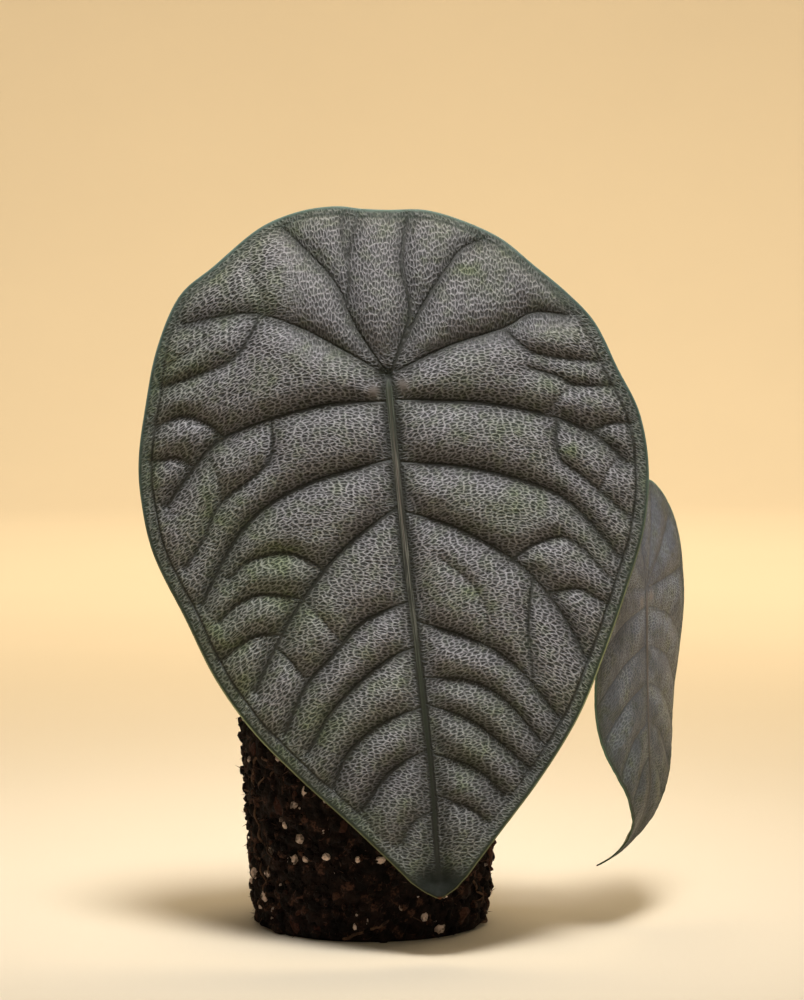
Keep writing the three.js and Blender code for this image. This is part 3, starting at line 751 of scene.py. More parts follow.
def on_plug(draw, top_share, margin=1.0):
    """A spot on the plug's side or top, and the way that faces out of it."""
    height, edge, top_radius = (ROOT_BALL[key] for key in ("height", "edge_round", "top_radius"))
    if draw.random() < top_share:
        radius = max((top_radius - edge) * math.sqrt(draw.random()), STEM["radius"] * 0.9)
        angle = draw.random() * FULL_TURN
        x, y = radius * math.cos(angle), radius * math.sin(angle)
        return Vector((x, y, float(soil_level(x, y)))), Vector((0, 0, 1))
    angle = draw.random() * FULL_TURN
    z = lerp(margin, height - 0.5, draw.random())
    side = Vector((math.cos(angle), math.sin(angle), 0))
    turn = max(0, z - height + edge) / edge * math.pi / 2
    if turn == 0:
        return side * plug_radius(z) + Vector((0, 0, z)), side
    out = side * math.cos(turn) + Vector((0, 0, math.sin(turn)))
    return side * (top_radius - edge) + Vector((0, 0, height - edge)) + out * edge, out


def build_plug(look, finish):
    """The moulded plug of potting mix: flat below, worn round at the top edge, and crumbly all over."""
    height = ROOT_BALL["height"]

    def shape(radius, angle, z):
        x, y = radius * np.cos(angle), radius * np.sin(angle)
        return np.stack([x, y, z + (soil_level(x, y) - height) * ease(z, height - 6, height)], 1)

    bm = lathe(plug_profile(look), round(FULL_TURN * ROOT_BALL["top_radius"] / look.skin_grid), shape)
    bm.normal_update()
    verts = bm.verts[:]
    tree = tree_of([vert.co / MM for vert in verts])
    draw = random.Random(CRUMB_SEED)
    rise = np.array([1.1 * noise.noise(vert.co / MM / 5) - 0.2 for vert in verts])
    crumb = np.array([0.5 + 0.5 * noise.noise(vert.co / MM / 2) for vert in verts])
    for _ in range(look.crumb_count):
        spot, out = on_plug(draw, 0.25)
        radius = look.crumb_size * draw.uniform(0.35, 1) ** 1.6
        centre = spot - out * radius * draw.uniform(0.3, 0.75)
        kind = draw.random()
        for point, index, distance in tree.find_range(spot, radius):
            aside = (point - centre - out * (point - centre).dot(out)).length
            lift = math.sqrt(max(0, radius**2 - aside**2)) - (spot - centre).length
            if lift > rise[index]:
                rise[index] = lift
                crumb[index] = kind
    normals = [vert.normal.copy() for vert in verts]
    for vert, normal, lift in zip(verts, normals, rise):
        if vert.co.z > 0.2 * MM:
            vert.co += normal * float(lift) * MM
            vert.co.z = max(vert.co.z, 0.0)
    finished_piece(bm, "potting_mix", [finish], ["root_ball"], {"crumb": crumb})


def build_grains(name, count, finish):
    """Rough lumps that lie against the plug, each with a tone of its own."""
    (smallest, largest), flatness, seed, top_share, sunk, (around, along) = GRAINS[name].values()
    draw = random.Random(seed)
    last = around * (along - 1) + 1
    lumps = []
    for _ in range(count):
        spot, out = on_plug(draw, top_share, margin=largest)
        size = lerp(smallest, largest, draw.random() ** 2)
        spin = Matrix.Rotation(draw.random() * FULL_TURN, 3, "Z")
        stretch = Matrix.Diagonal((draw.uniform(0.75, 1.25), draw.uniform(0.6, 1), flatness)) * size
        frame_of_lump = out.to_track_quat("Z", "Y").to_matrix() @ spin @ stretch
        jags = [draw.uniform(0.75, 1.2) for _ in range(last + 1)]
        centre = spot + out * size * flatness * (0.5 - sunk)
        lumps.append((np.array(centre), np.array(frame_of_lump), jags, draw.random()))
    centres, frames, jags, tones = (np.array(column) for column in zip(*lumps))

    def place(lump, turn, share):
        latitude, angle = share * math.pi, turn * FULL_TURN
        ball = round_places(np.sin(latitude), angle, np.cos(latitude))
        row = np.round(share * along).astype(int)
        corner = np.round(turn * around).astype(int) % around
        jag = np.where(row == 0, 0, np.where(row == along, last, 1 + (row - 1) * around + corner))
        spots = (frames[lump] @ (ball * jags[lump, jag][:, None])[..., None])[..., 0] + centres[lump]
        spots[:, 2] = np.maximum(spots[:, 2], LOWEST_LUMP)
        return spots

    bm = wrapped_grids(count, around, along, place)
    tree = tree_of(centres)
    shade = [tones[tree.find(vert.co / MM)[1]] for vert in bm.verts]
    finished_piece(bm, name, [finish], fields={"crumb": shade}, smooth=False)


def build_threads(name, threads, sides, finish):
    """Thin tubes, each given by its points and its radii there, pointed at both ends."""
    steps = len(threads[0][0]) - 1
    points, radii = (np.array(column) for column in zip(*threads))
    tangents = np.gradient(points, axis=1)
    level = unit(np.cross(tangents, (0.3, 0.2, 0.93)))
    upright = unit(np.cross(tangents, level))

    def place(thread, turn, share):
        step = np.round(share * steps).astype(int)
        radius = np.where((step == 0) | (step == steps), 0, radii[thread, step])
        angle = turn * FULL_TURN
        wide, tall = (radius * np.cos(angle))[:, None], (radius * np.sin(angle))[:, None]
        spots = points[thread, step] + level[thread, step] * wide + upright[thread, step] * tall
        spots[:, 2] = np.maximum(spots[:, 2], LOWEST_THREAD)
        return spots

    finished_piece(wrapped_grids(len(threads), sides, steps, place), name, [finish])


def rootlet_threads(look, steps=30):
    """Fine roots that run over the face of the plug."""
    draw = random.Random(ROOTLET_SEED)
    threads = []
    for _ in range(look.rootlet_count):
        angle = draw.random() * FULL_TURN
        z = draw.uniform(8, ROOT_BALL["height"] - 4)
        heading = draw.uniform(-2.6, -0.5)
        radius = draw.uniform(0.18, 0.45)
        stride = draw.uniform(0.4, 1.1)
        points = []
        for step in range(steps + 1):
            heading += draw.uniform(-0.35, 0.35)
            angle += math.cos(heading) * stride / plug_radius(z)
            z = min(max(z + math.sin(heading) * stride, 1.2), ROOT_BALL["height"] - 2)
            out = plug_radius(z) + 0.7 + 0.5 * math.sin(step * 0.7 + radius * 40)
            points.append((out * math.cos(angle), out * math.sin(angle), z))
        from_end = np.minimum(np.arange(steps + 1), np.arange(steps + 1)[::-1])
        threads.append((points, radius * np.clip((from_end + 1) / 4, 0.3, 1)))
    return threads


def fibre_threads(look):
    """Short dark fibres that stand out of the mix and fray its outline."""
    draw = random.Random(FIBRE_SEED)
    shares = np.linspace(-0.4, 1, 5)
    threads = []
    for _ in range(look.fibre_count):
        spot, out = on_plug(draw, 0.2)
        lean = Vector((draw.uniform(-1, 1), draw.uniform(-1, 1), draw.uniform(-1, 0.6)))
        way = (out * draw.uniform(0.25, 1) + lean * 0.7).normalized()
        length = draw.uniform(1.2, 3.4)
        bend = Vector([draw.uniform(-1, 1) for _ in range(3)]) * 0.25
        points = [tuple(spot + (way + bend * s) * length * s) for s in shares]
        threads.append((points, draw.uniform(0.1, 0.2) * (1.1 - shares * 0.8)))
    return threads


# Finishes


class Wire:
    """What a node gives out, with short ways to reckon with it."""

    def __init__(self, finish, socket):
        self.finish = finish
        self.socket = socket

    def math(self, operation, other=0.0, clamp=False):
        return self.finish.add("Math", 0, {0: self, 1: other}, operation=operation, use_clamp=clamp)

    def vector(self, operation, other):
        return self.finish.add("VectorMath", 0, {0: self, 1: other}, operation=operation)

    def __add__(self, other):
        return self.math("ADD", other)

    def __sub__(self, other):
        return self.math("SUBTRACT", other)

    def __mul__(self, other):
        return self.math("MULTIPLY", other)

    def __truediv__(self, other):
        return self.math("DIVIDE", other)

    def __abs__(self):
        return self.math("ABSOLUTE")

    def step(self, low, high, start=0.0, end=1.0):
        """start below low, end above high, and a smooth step between them."""
        inputs = {"Value": self, "From Min": low, "From Max": high, "To Min": start, "To Max": end}
        return self.finish.add("MapRange", "Result", inputs, interpolation_type="SMOOTHSTEP")


class Finish:
    """A new material, with short ways to add and link its nodes."""

    def __init__(self, name, specular):
        self.material = bpy.data.materials.new(name)
        self.material.use_nodes = True
        self.tree = self.material.node_tree
        self.shader = self.tree.nodes["Principled BSDF"]
        self.shader.inputs["Specular IOR Level"].default_value = specular

    def feed(self, socket, value):
        if isinstance(value, Wire):
            self.tree.links.new(value.socket, socket)
        else:
            socket.default_value = value

    def add(self, kind, output, inputs, **settings):
        """The named output of a new node of this kind."""
        made = self.tree.nodes.new("ShaderNode" + kind)
        for setting, value in settings.items():
            setattr(made, setting, value)
        for socket, value in inputs.items():
            self.feed(made.inputs[socket], value)
        return Wire(self, made.outputs[output])

    def fields(self, *names, output="Fac"):
        return [self.add("Attribute", output, {}, attribute_name=name) for name in names]

    def object_place(self):
        """Object coordinates in millimetres."""
        return self.add("TexCoord", "Object", {}).vector("MULTIPLY", (1 / MM,) * 3)

    def mix(self, first, second, share):
        first, second = (tone if isinstance(tone, Wire) else (*tone, 1.0) for tone in (first, second))
        return self.add("Mix", 2, {0: share, 6: first, 7: second}, data_type="RGBA")

    def coats(self, color, *coats):
        """The colour under one coat after another, each with the share that it covers."""
        for coat, share in coats:
            color = self.mix(color, coat, share)
        return color

    def blend(self, first, second, share):
        return self.add("Mix", 0, {0: share, 2: first, 3: second}, data_type="FLOAT")

    def noise(self, place, wavelength, detail, roughness=0.55, output="Fac"):
        inputs = {"Vector": place, "Scale": 1 / wavelength, "Detail": detail, "Roughness": roughness}
        return self.add("TexNoise", output, inputs)

    def cells(self, place, cell, randomness):
        """How far inside its cell a point of the plan lies, in cell widths."""
        inputs = {"Vector": place, "Scale": 1 / cell, "Randomness": randomness}
        return self.add("TexVoronoi", "Distance", inputs, voronoi_dimensions="2D", feature="DISTANCE_TO_EDGE")

    def shake(self, place, wavelength, amount):
        """The place, pushed about by a noise."""
        pushed = self.noise(place, wavelength, 2, output="Color").vector("SUBTRACT", (0.5, 0.5, 0.5))
        return place.vector("ADD", pushed.vector("MULTIPLY", (amount,) * 3))

    def shade(self, color, roughness, height, depth):
        """Links the look into the shader. depth is the height of a full bump, in millimetres."""
        bump = self.add("Bump", "Normal", {"Height": height, "Distance": depth * MM, "Strength": 1.0})
        for socket, value in (("Base Color", color), ("Roughness", roughness), ("Normal", bump)):
            self.feed(self.shader.inputs[socket], value)
        return self.material


def net_relief(leaf, place, look):
    """How pale and how high the fine net is, 0 to 1, with finer threads inside its meshes."""
    place = leaf.shake(place, 1.6, look.net_wobble)
    inside_mesh = leaf.cells(place, look.net_cell, 0.9)
    finer = leaf.cells(place, look.net_cell * 0.5, 1).step(0.02, 0.2, look.finer_share, 0)
    thread = inside_mesh.step(0.02, 0.02 + look.thread_share, 1, 0)
    swell = inside_mesh.step(0, 0.4, 1, 0)
    return thread.math("MAXIMUM", finer), swell.math("MAXIMUM", finer)


def blade_finish(name, look):
    """The upper face: a fine pale net between dark pits, creased veins, a striped midrib and a greener
    margin."""
    leaf = Finish(name, 0.27)
    plan, net = leaf.fields("plan", "net", output="Vector")
    rim, tip, high, fresh, fan = leaf.fields("rim", "tip", "high", "fresh", "fan")
    ribbon, down_midrib, knob, joint_pit = leaf.fields("ribbon", "midrib_along", "knob", "pit")
    vein, crown, across, beside, mark = leaf.fields("vein", "crown", "across", "beside", "mark")
    patchy, mottled = leaf.noise(plan, 14, 3), leaf.noise(plan, 5, 2)
    fine, glint = leaf.noise(plan, 1.6, 3), leaf.noise(plan, 0.9, 2)

    # Painted shadow: a dark crease just above each vein, on its upper bank under the bulge above, which also
    # sinks the bump there; the joint's pit is taken in too.
    crease = abs(across - look.crease_offset).step(0.05, look.crease_width, 1, 0)
    crease = crease * beside.step(1, 1.6, 1, 0) * mark * ribbon.step(0.9, 1.2)
    crease = crease.math("MAXIMUM", joint_pit)

    # The net fades out on the margin, the veins, the tip and the knobs.
    upwards = plan.vector("MULTIPLY", (1, 1 / look.net_stretch, 1))
    outer, above = (net_relief(leaf, place, look) for place in (net, upwards))
    thread, swell = (leaf.blend(*pair, fan) for pair in zip(outer, above))
    band = rim / high.step(0, 1, look.margin_width, look.top_margin_width)
    showing = band.step(0.4, 0.9) * vein.step(0.3, 1, 1, 0)
    showing = showing * tip.step(0.15, 0.55, 1, 0) * knob.step(0.3, 0.9, 1, 0.15)
    thread, swell = thread * showing, swell * showing
    # The pale threads and dark pits are partly the net's own colours and partly painted light: sheen on the
    # raised threads and shade down in the pits.
    paleness = (thread * 0.7 + swell * 0.3) * look.net_show
    paleness = paleness * patchy.step(0.4, 0.6, 1 - look.net_patches, 1) * glint.step(0.35, 0.62, 0.5, 1.1)
    paleness = leaf.blend(paleness, 0.33, fan * look.fan_softness)
    paleness = paleness.math("ADD", 0.5 * (1 - look.net_show), clamp=True)
    fresher = mottled.step(0.48, 0.68, 0, 0.4) + patchy.step(0.48, 0.68, 0, 0.35)
    fresher = fresh.math("ADD", fresher, clamp=True)
    pit = leaf.mix(look.pit_color, look.fresh_pit_color, fresher)
    pale = leaf.mix(look.thread_color, look.fresh_thread_color, fresher)

    stripes = leaf.noise(plan.vector("MULTIPLY", (3.2, 0.07, 1)), 1, 2)
    dimming = down_midrib.step(0.35, 0.75, 0, look.rib_fade)
    midrib = leaf.coats(
        look.rib_color,
        (look.vein_color, stripes.step(0.4, 0.53, 0, 0.9)),
        (look.rib_line_color, ribbon.step(0.05, 0.3, 0.5, 0)),
        (look.joint_color, down_midrib.step(0.02, 0.2, 0.55, 0)),
        (look.margin_color, dimming),
        (look.vein_color, dimming * 0.6),
    )
    untipped = tip.step(0.15, 0.6, 1, 0)
    # Painted shade: dark bands beside the raised midrib, where its sides fall into shadow.
    midrib_side_shade = ribbon.step(0.75, 1) * ribbon.step(1.5, 2.6, 1, 0) * untipped
    greyer = high * mottled.step(0.35, 0.65, 0.35, 1)
    margin = leaf.mix(look.margin_color, look.top_margin_color, greyer)
    color = leaf.coats(
        pit,
        (pale, paleness),
        (look.knob_color, knob * 0.75),
        # painted shade: the grooves beside the veins are darkened
        (look.vein_color, crown.step(0, 0.7, look.groove_shade, 0)),
        (look.floor_color, vein * fine.step(0.3, 0.7, 0.3, 1.4) * look.groove_shade),
        # painted shadow in the creases, and painted shade beside the midrib
        (look.vein_color, crease * look.crease_shade),
        (look.vein_color, midrib_side_shade * look.crease_shade),
        (midrib, ribbon.step(0.6, 1.05, 1, 0) * untipped),
        # painted shade: the joint's pit is darkened to near black
        (look.tip_and_pit_shade_color, joint_pit.step(0.25, 0.8, 0, look.crease_shade)),
        (margin, rim.step(2.2, 3.4, 0.3, 0)),
        (margin, band.step(0.6, 1.1, 0.85, 0)),
        # painted shade: the smooth tip is made nearly black, as it turns down away from the light
        (look.tip_and_pit_shade_color, tip.step(0.1, 0.6, 0, 0.96)),
        # a thin paler line along the rim: the lower half's own paler rim, and on the upper half a teal painted
        # reflection of the sky on the glossy rim
        (leaf.mix(look.low_edge_color, look.edge_color, high), rim.step(0.15, 0.5, 0.8, 0)),
        (look.dry_color, tip.step(0.88, 0.96)),
    )
    # Painted shade: the lower half and the blade near its tip are darkened, as they turn down away from the
    # light; patchy varies the tone at random.
    value = patchy.step(0.25, 0.75, 0.9, 1.1) * high.step(0, 0.7, look.low_shade, 1)
    value = value * down_midrib.step(0.58, 0.86, 1, look.tip_shade)
    color = leaf.add("HueSaturation", "Color", {"Color": color, "Value": value})
    rough = fine.step(0.3, 0.7, look.roughness - 0.08, look.roughness + 0.08)
    rough = rough + band.step(0.1, 1, 0.15, 0) + tip.step(0.1, 0.6, 0, 0.3)
    return leaf.shade(color, rough, swell + fine * 0.3 - crease, look.net_height)


def underside_finish(name, look):
    """The lower face: paler, matt grey-green, with lighter ribs and a faint print of the net."""
    leaf = Finish(name, 0.3)
    plan, net = leaf.fields("plan", "net", output="Vector")
    (rib,) = leaf.fields("vein")
    fine, patchy = leaf.noise(plan, 1.1, 4), leaf.noise(plan, 11, 3)
    print_of_net = leaf.cells(net, look.net_cell, 0.8).step(0.03, 0.2, 1, 0)
    color = leaf.coats(
        look.under_color,
        (look.under_fresh_color, patchy.step(0.35, 0.7)),
        (look.under_rib_color, print_of_net * 0.3),
        (look.under_rib_color, rib * 0.85),
    )
    return leaf.shade(color, fine.step(0.3, 0.7, 0.5, 0.65), print_of_net * 0.6 + fine, 0.06)


def petiole_finish(look):
    """Green stalks, flushed red-brown towards the foot and flecked with darker dashes."""
    stalk = Finish("petiole_skin", 0.4)
    (skin,), (along,) = stalk.fields("skin", output="Vector"), stalk.fields("along")
    streaks, flecks = stalk.noise(skin, 0.45, 4), stalk.noise(skin, 0.22, 2)
    flush = along.step(0, 0.55, 0.75, 0) + streaks.step(0.45, 0.7, 0, 0.35)
    dashes = flecks.step(0.58, 0.68, 0, 0.7)
    color = stalk.coats(look.stalk_color, (look.flush_color, flush), (look.fleck_color, dashes))
    return stalk.shade(color, flecks.step(0.3, 0.7, 0.4, 0.55), streaks + flecks * 0.4, 0.12)


def stem_finish(look):
    """Corky brown, with paler rings where leaves were."""
    bark = Finish("stem_bark", 0.25)
    place = bark.object_place()
    rings = bark.noise(place.vector("MULTIPLY", (1, 1, 3.5)), 5, 5)
    cork = bark.noise(place, 0.9, 5, 0.65)
    scars, flecks = rings.step(0.42, 0.66), cork.step(0.52, 0.7, 0, 0.7)
    color = bark.coats(look.bark_color, (look.scar_color, scars), (look.fleck_color, flecks))
    return bark.shade(color, cork.step(0.3, 0.7, 0.7, 0.9), rings + cork, 0.5)


def mix_finish(name, dark, middle, light, damp=0.2):
    """Crumbs of a mix: each has its own tone, with damp, slightly glossy hollows."""
    soil = Finish(name, 0.12)
    place = soil.object_place()
    (crumb,) = soil.fields("crumb")
    grit, dust = soil.noise(place, 0.8, 5, 0.7), soil.noise(place, 2.6, 3)
    tone = crumb.math("ADD", grit.step(0.3, 0.7, -0.25, 0.25), clamp=True)
    color = soil.coats(dark, (middle, tone.step(0.15, 0.75)), (light, tone.step(0.8, 1, 0, 0.85)))
    return soil.shade(color, dust.step(0.35, 0.65, 0.9 - damp, 0.95), grit + dust, 0.8)


def pale_finish(name, pale, stain):
    """Perlite, fine roots and fibres: pale, pitted, and stained by the mix."""
    grain = Finish(name, 0.3)
    place = grain.object_place()
    pores, stains = grain.noise(place, 0.5, 4, 0.7), grain.noise(place, 2.2, 3)
    color = grain.coats(pale, (stain, stains.step(0.42, 0.68, 0, 0.9)), (stain, pores.step(0.55, 0.75, 0, 0.6)))
    return grain.shade(color, pores.step(0.3, 0.7, 0.75, 0.95), pores, 0.3)


def paper_finish(look):
    """The seamless paper that the plant stands on."""
    paper = Finish("seamless_paper", 0.1)
    place = paper.object_place()
    clouds, tooth = paper.noise(place, 180, 2), paper.noise(place, 0.9, 2)
    color = paper.mix([channel * 0.96 for channel in look.floor_color], look.floor_color, clouds)
    return paper.shade(color, tooth.step(0.3, 0.7, 0.85, 0.95), tooth, 0.02)


# Stage


def build_floor(look):
    """Seamless paper: a round floor that curves up into a low wall all the way round."""
    floor, sweep, height = (size / MM for size in (look.floor_radius, look.sweep_radius, look.wall_height))
    profile = [(0, 0), (floor * 0.5, 0), (floor, 0)]
    for angle in np.linspace(0.05, 1, 16) * math.pi / 2:
        profile.append((floor + sweep * math.sin(angle), sweep * (1 - math.cos(angle))))
    profile.append(((look.floor_radius + look.sweep_radius) / MM, max(height, sweep * 1.05)))
    bm = lathe(profile, LATHE_SIDES)
    if next(iter(bm.faces)).normal.z < 0:
        bmesh.ops.reverse_faces(bm, faces=bm.faces)
    paper = add_object(bm, "floor", [paper_finish(look)])


def soft_light(name, place, target, size, power, color, spread):
    """A round lamp that faces the target. The size and the places are in metres, the spread in degrees."""
    lamp = bpy.data.lights.new(name, "AREA")
    lamp.shape = "DISK"
    lamp.size = size
    lamp.spread = math.radians(spread)
    lamp.energy = power
    lamp.color = color
    holder = bpy.data.objects.new(name, lamp)
    holder.location = place
    holder.rotation_euler = (Vector(target) - Vector(place)).to_track_quat("-Z", "Y").to_euler()
    bpy.context.scene.collection.objects.link(holder)


def light_stage(look):
    middle = (0.0, -0.03, 0.11)
    soft_light("key_light", (0.1, -0.64, 1.3), (0.0, -0.05, 0.14), 0.45, look.key_power, (1.0, 0.98, 0.96), 28)
    soft_light("fill_light", (0.9, -0.9, 0.45), middle, 0.8, look.fill_power, (1.0, 0.97, 0.94), 60)
    backdrop = (0.0, 1.55, 0.0)
    soft_light("backdrop_light", (0.2, 0.75, 1.6), backdrop, 1.5, look.backdrop_power, (1.0, 0.81, 0.55), 118)
    for name, x, y in (("front_wall", 0, -1), ("left_wall", -1, 0), ("right_wall", 1, 0)):
        place, target = (0.85 * x, 0.85 * y, 1.5), (2.1 * x, 2.1 * y, 0.0)
        soft_light(name, place, target, 1.0, look.wall_power, (1.0, 0.9, 0.75), 130)
    sky = bpy.data.worlds.new("sky")
    sky.use_nodes = True
    sky.node_tree.nodes["Background"].inputs["Color"].default_value = (1.0, 0.95, 0.87, 1.0)
    sky.node_tree.nodes["Background"].inputs["Strength"].default_value = look.sky_strength
    bpy.context.scene.world = sky
    bpy.context.scene.view_settings.view_transform = "Standard"


def set_camera(look):
    lens = bpy.data.cameras.new("camera")
    lens.lens = look.lens
    lens.sensor_width = 36
    lens.clip_start = 0.05
    lens.clip_end = 20
    holder = bpy.data.objects.new("camera", lens)
    holder.location = look.camera_place
    holder.rotation_euler = (math.radians(90) - look.camera_pitch, 0, 0)
    bpy.context.scene.collection.objects.link(holder)
    bpy.context.scene.camera = holder


# Settings that a user may change


def number(name, description, default, **limits):
    return FloatProperty(name=name, description=description, default=default, min=0, **limits)


def size(name, description, default):
    return number(name, description + ", in mm", default)


def part_of(name, description, default):
    """A share, from 0 to 1."""
    return number(name, description, default, max=1)


def power(name, description, default):
    return number(name, description, default, unit="POWER")


def count(name, description, default):
    return IntProperty(name=name, description=description, default=default, min=0)


def linear(code):
    """A screen colour such as 6f6a45 as the linear colour that a shader takes."""
    parts = [int(code[i : i + 2], 16) / 255 for i in (0, 2, 4)]
    return tuple(p / 12.92 if p <= 0.04045 else ((p + 0.055) / 1.055) ** 2.4 for p in parts)


def paint(name, description, code):
    return FloatVectorProperty(
        name=name, description="Colour of " + description, default=linear(code), subtype="COLOR", min=0, max=1
    )


def changed(settings, **defaults):
    """These settings once more, with other defaults."""
    made = {}
    for key, default in defaults.items():
        deferred = settings.__annotations__[key]
        default = linear(default) if isinstance(default, str) else default
        made[key] = deferred.function(**{**deferred.keywords, "default": default})
    return made


class BladeSettings:
    """Sizes in millimetres and colours of a blade"""

    thickness: size("Thickness", "Thickness of the blade between its ribs", 0.8)
    rim_thickness: size("Rim thickness", "Thickness of the blade at its rim", 0.4)
    rim_width: size("Rim width", "Width over which the rim thins", 3)
    rib_height: size("Rib height", "How far the ribs stand out below", 0.9)
    edge_wave: size("Edge wave", "Height of the slow waves along the margin", 1.2)
    panel_cell: size("Pillow width", "Width of the small pillows under the net", 3)
    panel_height: size("Pillow height", "Height of the small pillows under the net", 0.16)
    roughness_height: size("Unevenness", "Height of the slow unevenness", 0.3)
    net_cell: size("Net mesh", "Width of one mesh of the fine net", 0.84)
    net_height: size("Net height", "How far the net stands up", 0.24)
    net_stretch: number("Net stretch", "How many times longer than wide the meshes of the net are", 2.1)
    net_show: part_of("Net contrast", "How strongly the net's colour shows", 1)
    net_wobble: size("Net wobble", "How far the threads of the net wander", 0.8)
    thread_share: number("Thread width", "Width of a thread as a share of one mesh", 0.22)
    finer_share: part_of("Finer threads", "How pale the finest threads are beside the others", 0.3)
    net_patches: part_of("Net patches", "How unevenly the net's colour shows", 0)
    fan_softness: part_of("Fan softness", "How much fainter the net is above the joint", 0.3)
    margin_width: size("Margin", "Width of the dark green margin in which the net fades", 1.3)
    top_margin_width: size("Upper margin", "Width of the upper half's paler margin", 1.1)
    # The crease is a dark line painted just above each vein, as the shadow under the bulge above it; it also
    # sinks the bump there.
    crease_width: size("Crease width", "Half the width of the dark crease along a vein", 0.55)
    crease_offset: size("Crease place", "How far above the vein's line its crease lies", 0.4)
    crease_shade: part_of("Crease shade", "How strongly the crease shows", 0.85)
    # Painted shade in the grooves beside the veins.
    groove_shade: part_of("Groove shade", "How much darker the grooves beside the veins are", 0.45)
    rib_fade: part_of("Midrib fade", "How strongly the midrib darkens towards the tip", 1)
    # Painted shade: the lower half and the tip are darkened, as they turn down away from the light.
    low_shade: part_of("Lower shade", "Brightness of the lower half beside the upper one", 1)
    tip_shade: part_of("Tip shade", "Brightness of the blade near its tip", 0.66)
    roughness: part_of("Roughness", "How matt the upper face is", 0.52)
    # The net's pale threads and dark pits are partly its own colours and partly painted light: sheen on the
    # threads, shade in the pits.
    thread_color: paint("Net", "the raised net", "939295")
    pit_color: paint("Pits", "the pits in the net", "1a1c1c")
    fresh_thread_color: paint("Fresh net", "the net in the green patches", "787f68")
    fresh_pit_color: paint("Fresh pits", "the pits in the green patches", "1c2815")
    # Dark of the midrib's stripes, and of the painted shade in the grooves, the creases and beside the midrib.
    vein_color: paint("Veins", "the sunken veins", "1e211c")
    floor_color: paint("Vein floor", "the smooth floor of the grooves", "41403c")
    rib_color: paint("Midrib", "the midrib's pale stripes", "66665e")
    joint_color: paint("Joint", "the midrib beside the joint", "2c372a")
    rib_line_color: paint("Midrib line", "the fine line along the midrib", "574840")
    margin_color: paint("Margin", "the band along the margin", "2b3527")
    top_margin_color: paint("Upper margin", "the upper half's margin", "44524c")
    # Painted reflection: the teal line on the upper half's edge stands in for the sky reflected by the glossy
    # rim.
    edge_color: paint("Edge", "the thin line at the upper half's edge", "587069")
    low_edge_color: paint("Lower edge", "the thin line at the lower half's edge", "84865c")
    # Near-black painted shade, used on the smooth tip, which turns down away from the light, and in the joint's
    # pit.
    tip_and_pit_shade_color: paint("Tip", "the smooth tip", "0c1206")
    dry_color: paint("Dry tip", "the dry point of the tip", "6a3a22")
    knob_color: paint("Knobs", "the smooth knobs beside the midrib's top", "8a807a")
    under_color: paint("Underside", "the lower face", "77806a")
    under_fresh_color: paint("Underside patches", "the lower face's patches", "86906f")
    under_rib_color: paint("Ribs", "the ribs on the lower face", "a3a384")


class AlocasiaFrontBladeSettings(BladeSettings, bpy.types.PropertyGroup):
    """Settings of the large blade"""


class AlocasiaSideBladeSettings(BladeSettings, bpy.types.PropertyGroup):
    """Settings of the older blade, which is smoother and faintly netted"""

    __annotations__ = changed(
        BladeSettings,
        edge_wave=0.4,
        panel_height=0.1,
        net_height=0.12,
        net_show=0.8,
        net_patches=0.75,
        margin_width=1.6,
        top_margin_width=1,
        crease_shade=0.07,
        groove_shade=0.08,
        rib_fade=0.25,
        low_shade=0.56,
        tip_shade=0.95,
        roughness=0.46,
        thread_color="8b92a0",
        pit_color="464c56",
        vein_color="3c3b35",
        floor_color="54565a",
        rib_color="6a6462",
        joint_color="6a6462",
        top_margin_color="5e6a63",
        edge_color="5c7a6a",
        low_edge_color="5c7a5a",
    )


class AlocasiaStalkSettings(bpy.types.PropertyGroup):
    """Colours of the petioles and the stem"""

    ridge_share: number("Ridges", "Height of the fine ridges along a petiole, as a share", 0.012)
    stalk_color: paint("Petiole", "the petioles", "7c8052")
    flush_color: paint("Flush", "the petioles' flush at the foot", "6e4a36")
    fleck_color: paint("Flecks", "the dark flecks", "3a2a20")
    bark_color: paint("Bark", "the stem", "5b4430")
    scar_color: paint("Scars", "the leaf scars", "8c7454")


class AlocasiaSoilSettings(bpy.types.PropertyGroup):
    """Sizes in millimetres and colours of the root ball"""

    skin_grid: size("Skin grid", "Width of one mesh face on the plug", 0.68)
    crumb_count: count("Crumbs", "Crumbs raised from the plug", 4200)
    crumb_size: size("Crumb size", "Radius of the largest crumbs", 2.2)
    loose_count: count("Loose crumbs", "Separate crumbs on the plug", 2200)
    perlite_count: count("Perlite", "Grains of perlite", 380)
    bark_count: count("Bark", "Chips of bark", 110)
    rootlet_count: count("Rootlets", "Fine roots on the plug", 26)
    fibre_count: count("Fibres", "Short fibres that stand out", 900)
    dark_color: paint("Wet mix", "the darkest mix", "0b0706")
    mix_color: paint("Mix", "the mix", "1f1512")
    light_color: paint("Dry crumbs", "the driest crumbs", "4e362b")
    perlite_color: paint("Perlite", "the perlite", "d2bcae")
    bark_color: paint("Bark chips", "the bark chips", "382019")
    root_color: paint("Rootlets", "the fine roots", "5e4635")


